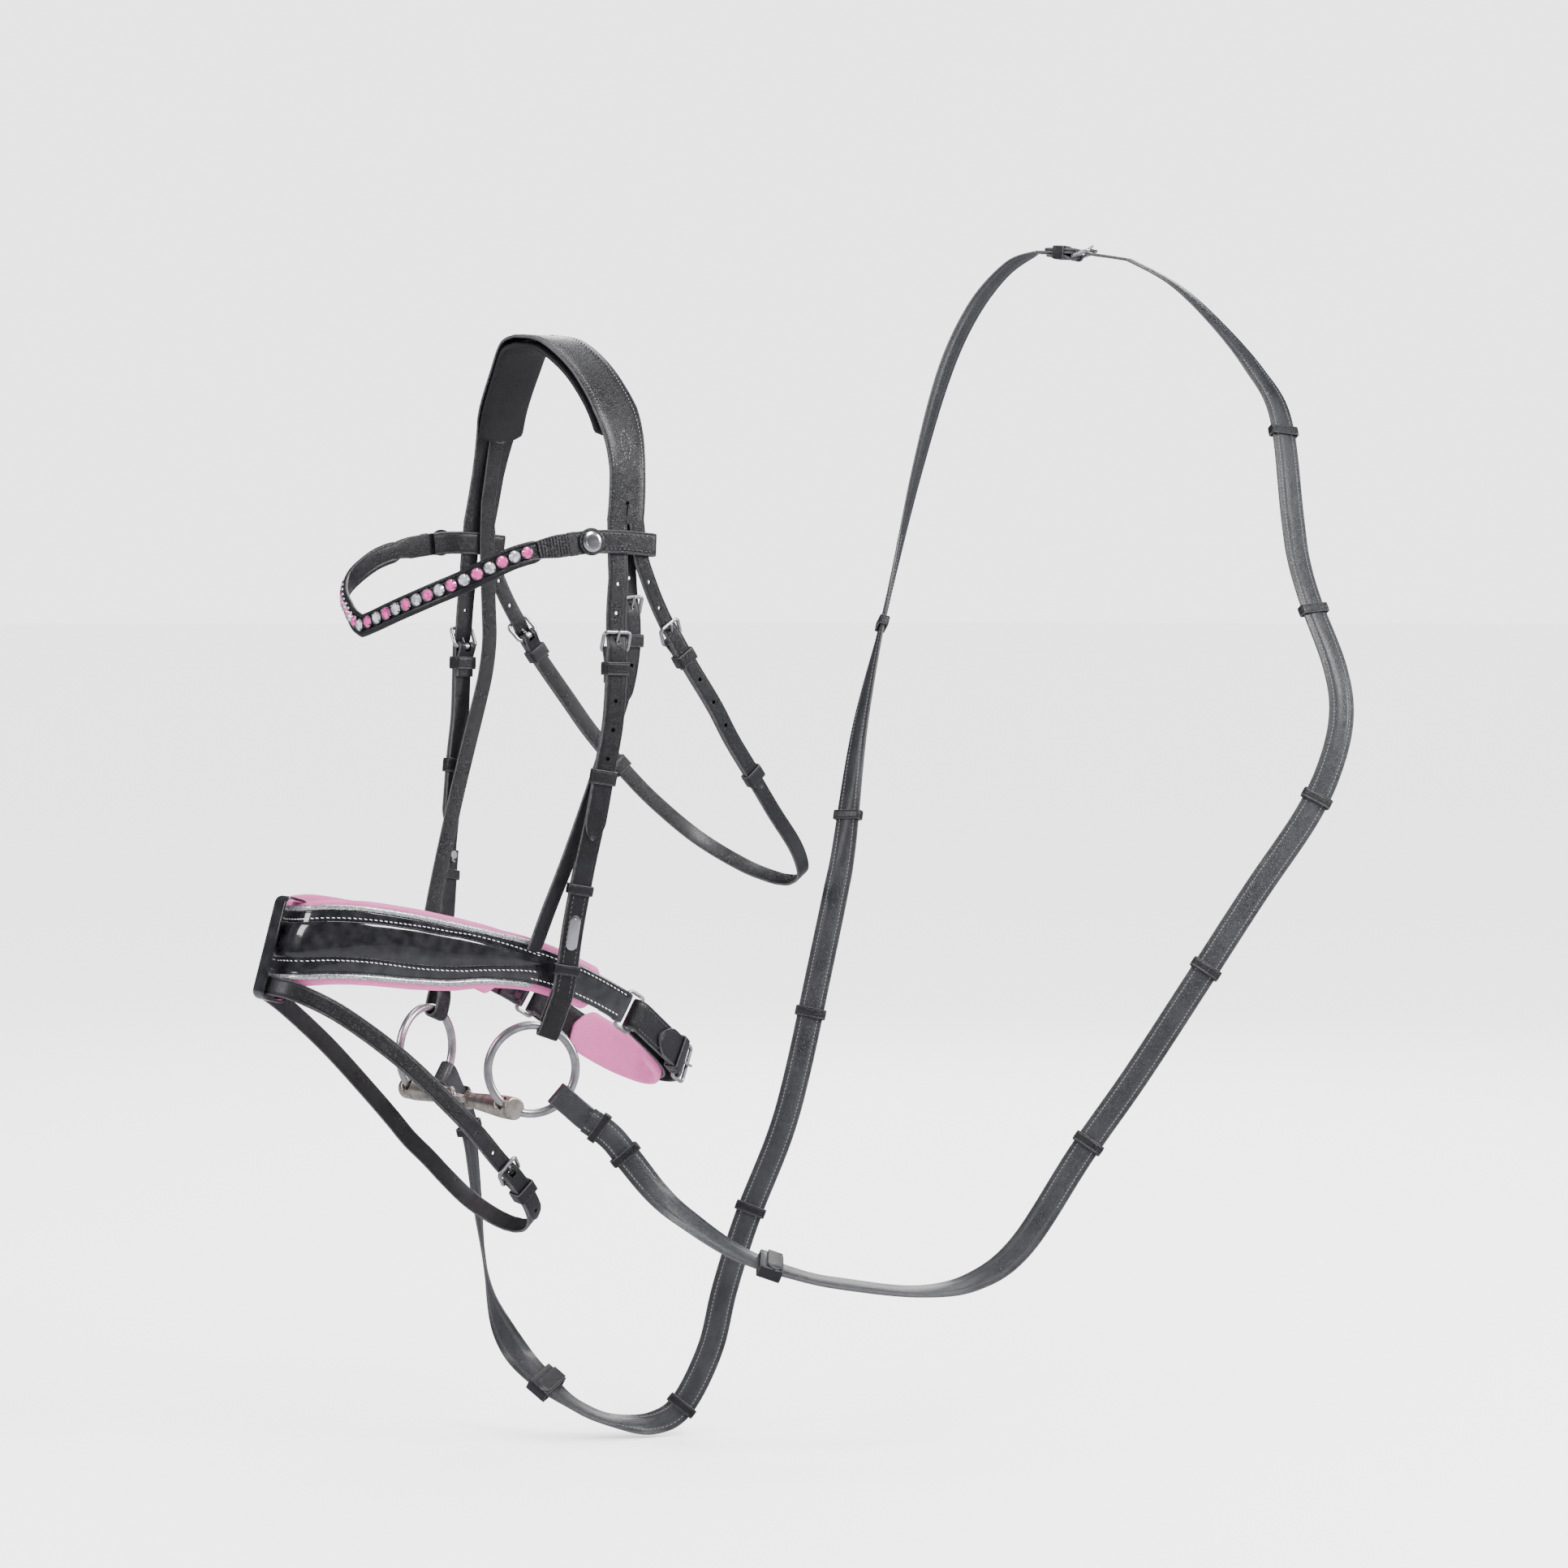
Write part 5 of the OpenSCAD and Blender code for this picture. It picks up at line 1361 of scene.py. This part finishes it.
def make_crank(r):
    """Crank strap round the rollers, its keeper, and the pad under the chin."""
    crank, roller, wrap = crank_route(r)
    end = crank.length
    bar = end - 0.066
    near_turn = turn(roller, wrap, 1, 1)
    far_turn = [(flip(p), flip(w)) for p, w in reversed(near_turn)]
    inner = -2 * wrap
    path = (fold(crank, bar, 0.02) + layer(crank, bar, end - 0.001) + near_turn
            + layer(crank, end - 0.003, 0.003, [(0, inner)]) + far_turn + billet(crank, 0.001, bar, 0.044))
    strap = ribbon("crank_strap", eased(path, 0.014), CRANK_W, STRAP_T, STRAP, tip=0.014)
    punch(strap, [slot_block(crank, bar), tongue_rod(crank, bar)] + hole_rods(crank, bar, (-3, -2, -1)))
    settle(strap, FINISH["leather"], nodes=["crank_strap"])
    keeper = full_keeper("crank_keeper", crank, bar + 0.013, CRANK_W)
    settle(keeper, FINISH["leather"], nodes=["fixed_keepers"])
    rows = [(layer(crank, 0.004, bar - 0.014), k * (CRANK_W / 2 - 0.003), STRAP_T / 2 + 0.0002, 0.002, None)
            for k in (1, -1)]
    rows += [(layer(crank, bar + 0.02, end - 0.002, [(0, 0)]), k * (CRANK_W / 2 - 0.003),
              STRAP_T / 2 + 0.0002,
              0.002, None) for k in (1, -1)]
    thread("crank_stitches", rows, FINISH["black"])
    pad_t = 0.005
    pad_line = layer(crank, 0.03, end - 0.03, [(0, inner - STRAP_T / 2 - 0.0007 - pad_t / 2)])
    pad = ribbon("chin_pad", pad_line, CRANK_W + 0.01, pad_t + 0.0006, padded_section(0.35, 36), tip=0.01,
                 first_tip=0.01)
    settle(pad, FINISH["pink"], nodes=["chin_pad"])


# ---- flash ----------------------------------------------------------------------------------
def make_flash(r):
    """Flash strap, its loop on the front of the noseband, its buckle and keeper."""
    nose, flash = r["nose"], r["flash"]
    f = nose.frame(0)
    low, high, inner, outer = -0.03, 0.039, -0.0088, 0.008
    middle = [f[0], f[1], f[2], f[3] + f[0] * (low + high) / 2 + f[2] * (inner + outer) / 2]
    loop = band("flash_loop", middle, high - low, outer - inner, 0.015, 0.0016, 0.005)
    settle(loop, FINISH["patent"], nodes=["flash_loop"])
    end = flash.length
    path = (fold(flash, FLASH_BAR, 0.022) + layer(flash, FLASH_BAR, end) + mirrored(layer(flash, 0, end))
            + billet(flash, 0.006, FLASH_BAR, 0.044))
    strap = ribbon("flash_strap", eased(path, 0.012), FLASH_W, STRAP_T, STRAP, tip=0.012)
    punch(strap, [slot_block(flash, FLASH_BAR), tongue_rod(flash, FLASH_BAR)]
          + hole_rods(flash, FLASH_BAR, (-3, -2, -1, 2)))
    settle(strap, FINISH["leather"], nodes=["flash_strap"])
    keeper = full_keeper("flash_keeper", flash, FLASH_BAR + 0.014, FLASH_W, 0.0007)
    settle(keeper, FINISH["leather"], nodes=["fixed_keepers"])
    finish_nodes("steel", "flash_buckle", "flash_tongue")


# ---- bit ------------------------------------------------------------------------------------
def make_bit():
    """Mouthpiece arms with softened edges and a plain ring mark on each butt."""
    finish_nodes("steel", "bit_ring_left", "bit_ring_right")
    finish_nodes("alloy", "bit_link")
    butt = on_ring(211)
    arm = copied_node("bit_arm_near", "bit_arm_left")
    apply_modifier(arm, "REMESH", mode="VOXEL", voxel_size=0.00045)
    apply_modifier(arm, "SMOOTH", factor=0.5, iterations=26)
    apply_modifier(arm, "DECIMATE", ratio=0.35)
    marks = []
    for angle in (200, 20):
        out = np.array([0, math.cos(math.radians(angle)), math.sin(math.radians(angle))])
        deselect()
        bpy.ops.mesh.primitive_torus_add(major_segments=32, minor_segments=8, major_radius=0.0024,
                                         minor_radius=0.0005)
        mark = bpy.context.object
        across = np.array([1.0, 0, 0])
        mark.data.transform(matrix_of([across, np.cross(out, across), out,
                                       butt + out * 0.0077 - across * 0.0035]))
        marks.append(mark)
    arm = joined("bit_arm_near", [arm] + marks)
    smooth(arm, 50)
    far = mirror_piece(arm, "bit_arm_off")
    settle(arm, FINISH["alloy"], "mouthpiece_left", ["bit_arm_left"])
    settle(far, FINISH["alloy"], "mouthpiece_right", ["bit_arm_right"])


# ---- floor, light and camera ----------------------------------------------------------------
def look_at(obj, place, target):
    obj.location = place
    obj.rotation_euler = (Vector(target) - Vector(place)).to_track_quat("-Z", "Y").to_euler()


def make_stage(looks):
    """Pale floor, soft boxes and the camera."""
    azimuth, elevation, distance = math.radians(55), math.radians(3), 3.0
    right = Vector((math.cos(azimuth), math.sin(azimuth), 0))
    back = Vector((math.sin(azimuth) * math.cos(elevation), -math.cos(azimuth) * math.cos(elevation),
                   math.sin(elevation)))
    up = back.cross(right)
    target = right * 0.1687 - up * 0.313 + Vector((0, 0, 0.007))
    camera = bpy.data.objects.new("Camera", bpy.data.cameras.new("Camera"))
    bpy.context.scene.collection.objects.link(camera)
    camera.data.lens = 98.07
    camera.data.sensor_width = 36
    camera.data.clip_end = 200
    look_at(camera, target + back * distance, target)
    bpy.context.scene.camera = camera
    deselect()
    bpy.ops.mesh.primitive_circle_add(vertices=96, radius=40, fill_type="NGON",
                                      location=(0, 0, cad_box[0][2] - 0.002))
    floor = bpy.context.object
    floor.name = "floor"
    material, tree, shader, place = surface("Pale floor", Roughness=0.9, Specular_IOR_Level=0.1)
    haze = add(tree, "TexNoise", {"Vector": place, "Scale": 1.3, "Detail": 3.0})
    pale = looks.floor_colour
    colour = blend_colours(tree, haze.outputs[0], tuple(0.985 * c for c in pale), tuple(pale))
    # Glossy rays see the floor painted dark grey (0.13): painted shade in its reflections, so the leather
    # does not mirror the pale floor.
    rays = add(tree, "LightPath")
    tree.links.new(blend_colours(tree, rays.outputs["Is Glossy Ray"], colour, (0.13, 0.13, 0.14)),
                   shader.inputs["Base Color"])
    floor.data.materials.append(material)
    build_room(looks)
    key = looks.key_light
    for name, place, size, power in (("key", right * 1.2 + back * 1.3 + up * 1.6, 0.7, key),
                                     ("side", right * 2.6 + back * 0.2 + up * 0.9, 0.8, key * 0.8),
                                     ("left", right * -2.0 + back * 1.0 + up * 1.0, 0.8, key * 0.4),
                                     ("top", up * 2.4 - back * 0.3, 1.2, key * 0.6),
                                     ("rear", back * -2.2 + right * 0.3 + up * 1.2, 1.2, key * 0.6)):
        data = bpy.data.lights.new(name, "AREA")
        data.size = size
        data.energy = power
        light = bpy.data.objects.new(name, data)
        bpy.context.scene.collection.objects.link(light)
        look_at(light, place + target, target)


def build_room(looks):
    """Pale room; what shines sees it dimmer, so that the soft boxes read on the leather."""
    world = bpy.data.worlds.new("Studio")
    world.use_nodes = True
    tree = world.node_tree
    room = tree.nodes["Background"]
    room.inputs[0].default_value = (0.93, 0.935, 0.945, 1)
    room.inputs[1].default_value = looks.room_light
    dim = add(tree, "Background", {0: (0.9, 0.92, 1.0, 1), 1: looks.shine_light})
    rays = add(tree, "LightPath")
    mixed = add(tree, "MixShader", {0: rays.outputs["Is Glossy Ray"], 1: room.outputs[0], 2: dim.outputs[0]})
    tree.links.new(mixed.outputs[0], tree.nodes["World Output"].inputs[0])
    bpy.context.scene.world = world


# ---- the add-on -----------------------------------------------------------------------------
class BridleLooks(bpy.types.PropertyGroup):
    """Colours and light that suit another bridle or another room."""

    leather_colour: bpy.props.FloatVectorProperty(
        name="Leather", description="Dye of the black leather", subtype="COLOR",
        default=(0.004, 0.004, 0.005),
        min=0, max=1)
    edge_colour: bpy.props.FloatVectorProperty(
        name="Cut edges", description="Paler tone of worn and cut edges", subtype="COLOR",
        default=(0.04, 0.038, 0.04), min=0, max=1)
    lining_colour: bpy.props.FloatVectorProperty(
        name="Lining", description="Pink of the padded lining", subtype="COLOR", default=(0.47, 0.085, 0.25),
        min=0, max=1)
    stone_colour: bpy.props.FloatVectorProperty(
        name="Stones", description="Pink of every second crystal", subtype="COLOR",
        default=(0.82, 0.09, 0.38),
        min=0, max=1)
    floor_colour: bpy.props.FloatVectorProperty(
        name="Floor", description="Pale studio floor", subtype="COLOR", default=(0.97, 0.97, 0.97),
        min=0, max=1)
    key_light: bpy.props.FloatProperty(
        name="Key light", description="Power of the main soft box", unit="POWER", default=55, min=0)
    room_light: bpy.props.FloatProperty(
        name="Room light", description="Brightness of the pale surroundings", default=3.4, min=0)
    shine_light: bpy.props.FloatProperty(
        name="Reflected room", description="Brightness of the room in glossy reflections",
        default=0.12, min=0)


def looks_of(context):
    return context.scene.bridle_looks


class BRIDLE_OT_stage(bpy.types.Operator):
    """Adds the floor, the soft lights and the camera"""

    bl_idname = "bridle.stage"
    bl_label = "Stage"

    def execute(self, context):
        make_stage(looks_of(context))
        build_finishes(looks_of(context))
        return {"FINISHED"}


class BRIDLE_OT_reins(bpy.types.Operator):
    """Makes both reins with their loops, keepers, stops and withers buckle"""

    bl_idname = "bridle.reins"
    bl_label = "Reins"

    def execute(self, context):
        make_reins()
        return {"FINISHED"}


class BRIDLE_OT_crown(bpy.types.Operator):
    """Makes the crown, its billets and its padding"""

    bl_idname = "bridle.crown"
    bl_label = "Crown"

    def execute(self, context):
        make_crown(routes())
        return {"FINISHED"}


class BRIDLE_OT_sliphead(bpy.types.Operator):
    """Makes the sliphead and the noseband hanger"""

    bl_idname = "bridle.sliphead"
    bl_label = "Sliphead"

    def execute(self, context):
        make_sliphead(routes())
        return {"FINISHED"}


class BRIDLE_OT_throatlash(bpy.types.Operator):
    """Makes the throatlash with its keepers and runners"""

    bl_idname = "bridle.throatlash"
    bl_label = "Throatlash"

    def execute(self, context):
        make_throatlash(routes())
        return {"FINISHED"}


class BRIDLE_OT_cheekpieces(bpy.types.Operator):
    """Makes the cheekpieces with their keepers, studs and plates"""

    bl_idname = "bridle.cheekpieces"
    bl_label = "Cheekpieces"

    def execute(self, context):
        make_cheekpieces(routes())
        return {"FINISHED"}


class BRIDLE_OT_browband(bpy.types.Operator):
    """Makes the browband with its crystals and snaps"""

    bl_idname = "bridle.browband"
    bl_label = "Browband"

    def execute(self, context):
        make_browband(routes())
        return {"FINISHED"}


class BRIDLE_OT_noseband(bpy.types.Operator):
    """Makes the patent noseband with its piping and padding"""

    bl_idname = "bridle.noseband"
    bl_label = "Noseband"

    def execute(self, context):
        make_noseband(routes())
        return {"FINISHED"}


class BRIDLE_OT_crank(bpy.types.Operator):
    """Makes the crank strap and the chin pad"""

    bl_idname = "bridle.crank"
    bl_label = "Crank strap"

    def execute(self, context):
        make_crank(routes())
        return {"FINISHED"}


class BRIDLE_OT_flash(bpy.types.Operator):
    """Makes the flash strap and the loop that holds it"""

    bl_idname = "bridle.flash"
    bl_label = "Flash strap"

    def execute(self, context):
        make_flash(routes())
        return {"FINISHED"}


class BRIDLE_OT_bit(bpy.types.Operator):
    """Finishes the rings, the link and the two arms of the bit"""

    bl_idname = "bridle.bit"
    bl_label = "Bit"

    def execute(self, context):
        make_bit()
        return {"FINISHED"}


OPERATORS = (BRIDLE_OT_stage, BRIDLE_OT_reins, BRIDLE_OT_crown, BRIDLE_OT_sliphead, BRIDLE_OT_throatlash,
             BRIDLE_OT_cheekpieces, BRIDLE_OT_browband, BRIDLE_OT_noseband, BRIDLE_OT_crank,
             BRIDLE_OT_flash, BRIDLE_OT_bit)


class BRIDLE_PT_panel(bpy.types.Panel):
    """Lists the pieces of the bridle"""

    bl_idname = "BRIDLE_PT_panel"
    bl_label = "Snaffle bridle"
    bl_space_type = "VIEW_3D"
    bl_region_type = "UI"
    bl_category = "Bridle"

    def draw(self, context):
        looks = looks_of(context)
        for name in looks.bl_rna.properties.keys():
            if name not in ("rna_type", "name"):
                self.layout.prop(looks, name)
        for operator in OPERATORS:
            self.layout.operator(operator.bl_idname)


def register():
    for cls in (BridleLooks, *OPERATORS, BRIDLE_PT_panel):
        bpy.utils.register_class(cls)
    bpy.types.Scene.bridle_looks = bpy.props.PointerProperty(type=BridleLooks)


def unregister():
    del bpy.types.Scene.bridle_looks
    for cls in reversed((BridleLooks, *OPERATORS, BRIDLE_PT_panel)):
        bpy.utils.unregister_class(cls)


def main():
    register()
    for operator in OPERATORS:
        getattr(bpy.ops.bridle, operator.bl_idname.split(".")[1])()


if __name__ == "__main__":
    main()
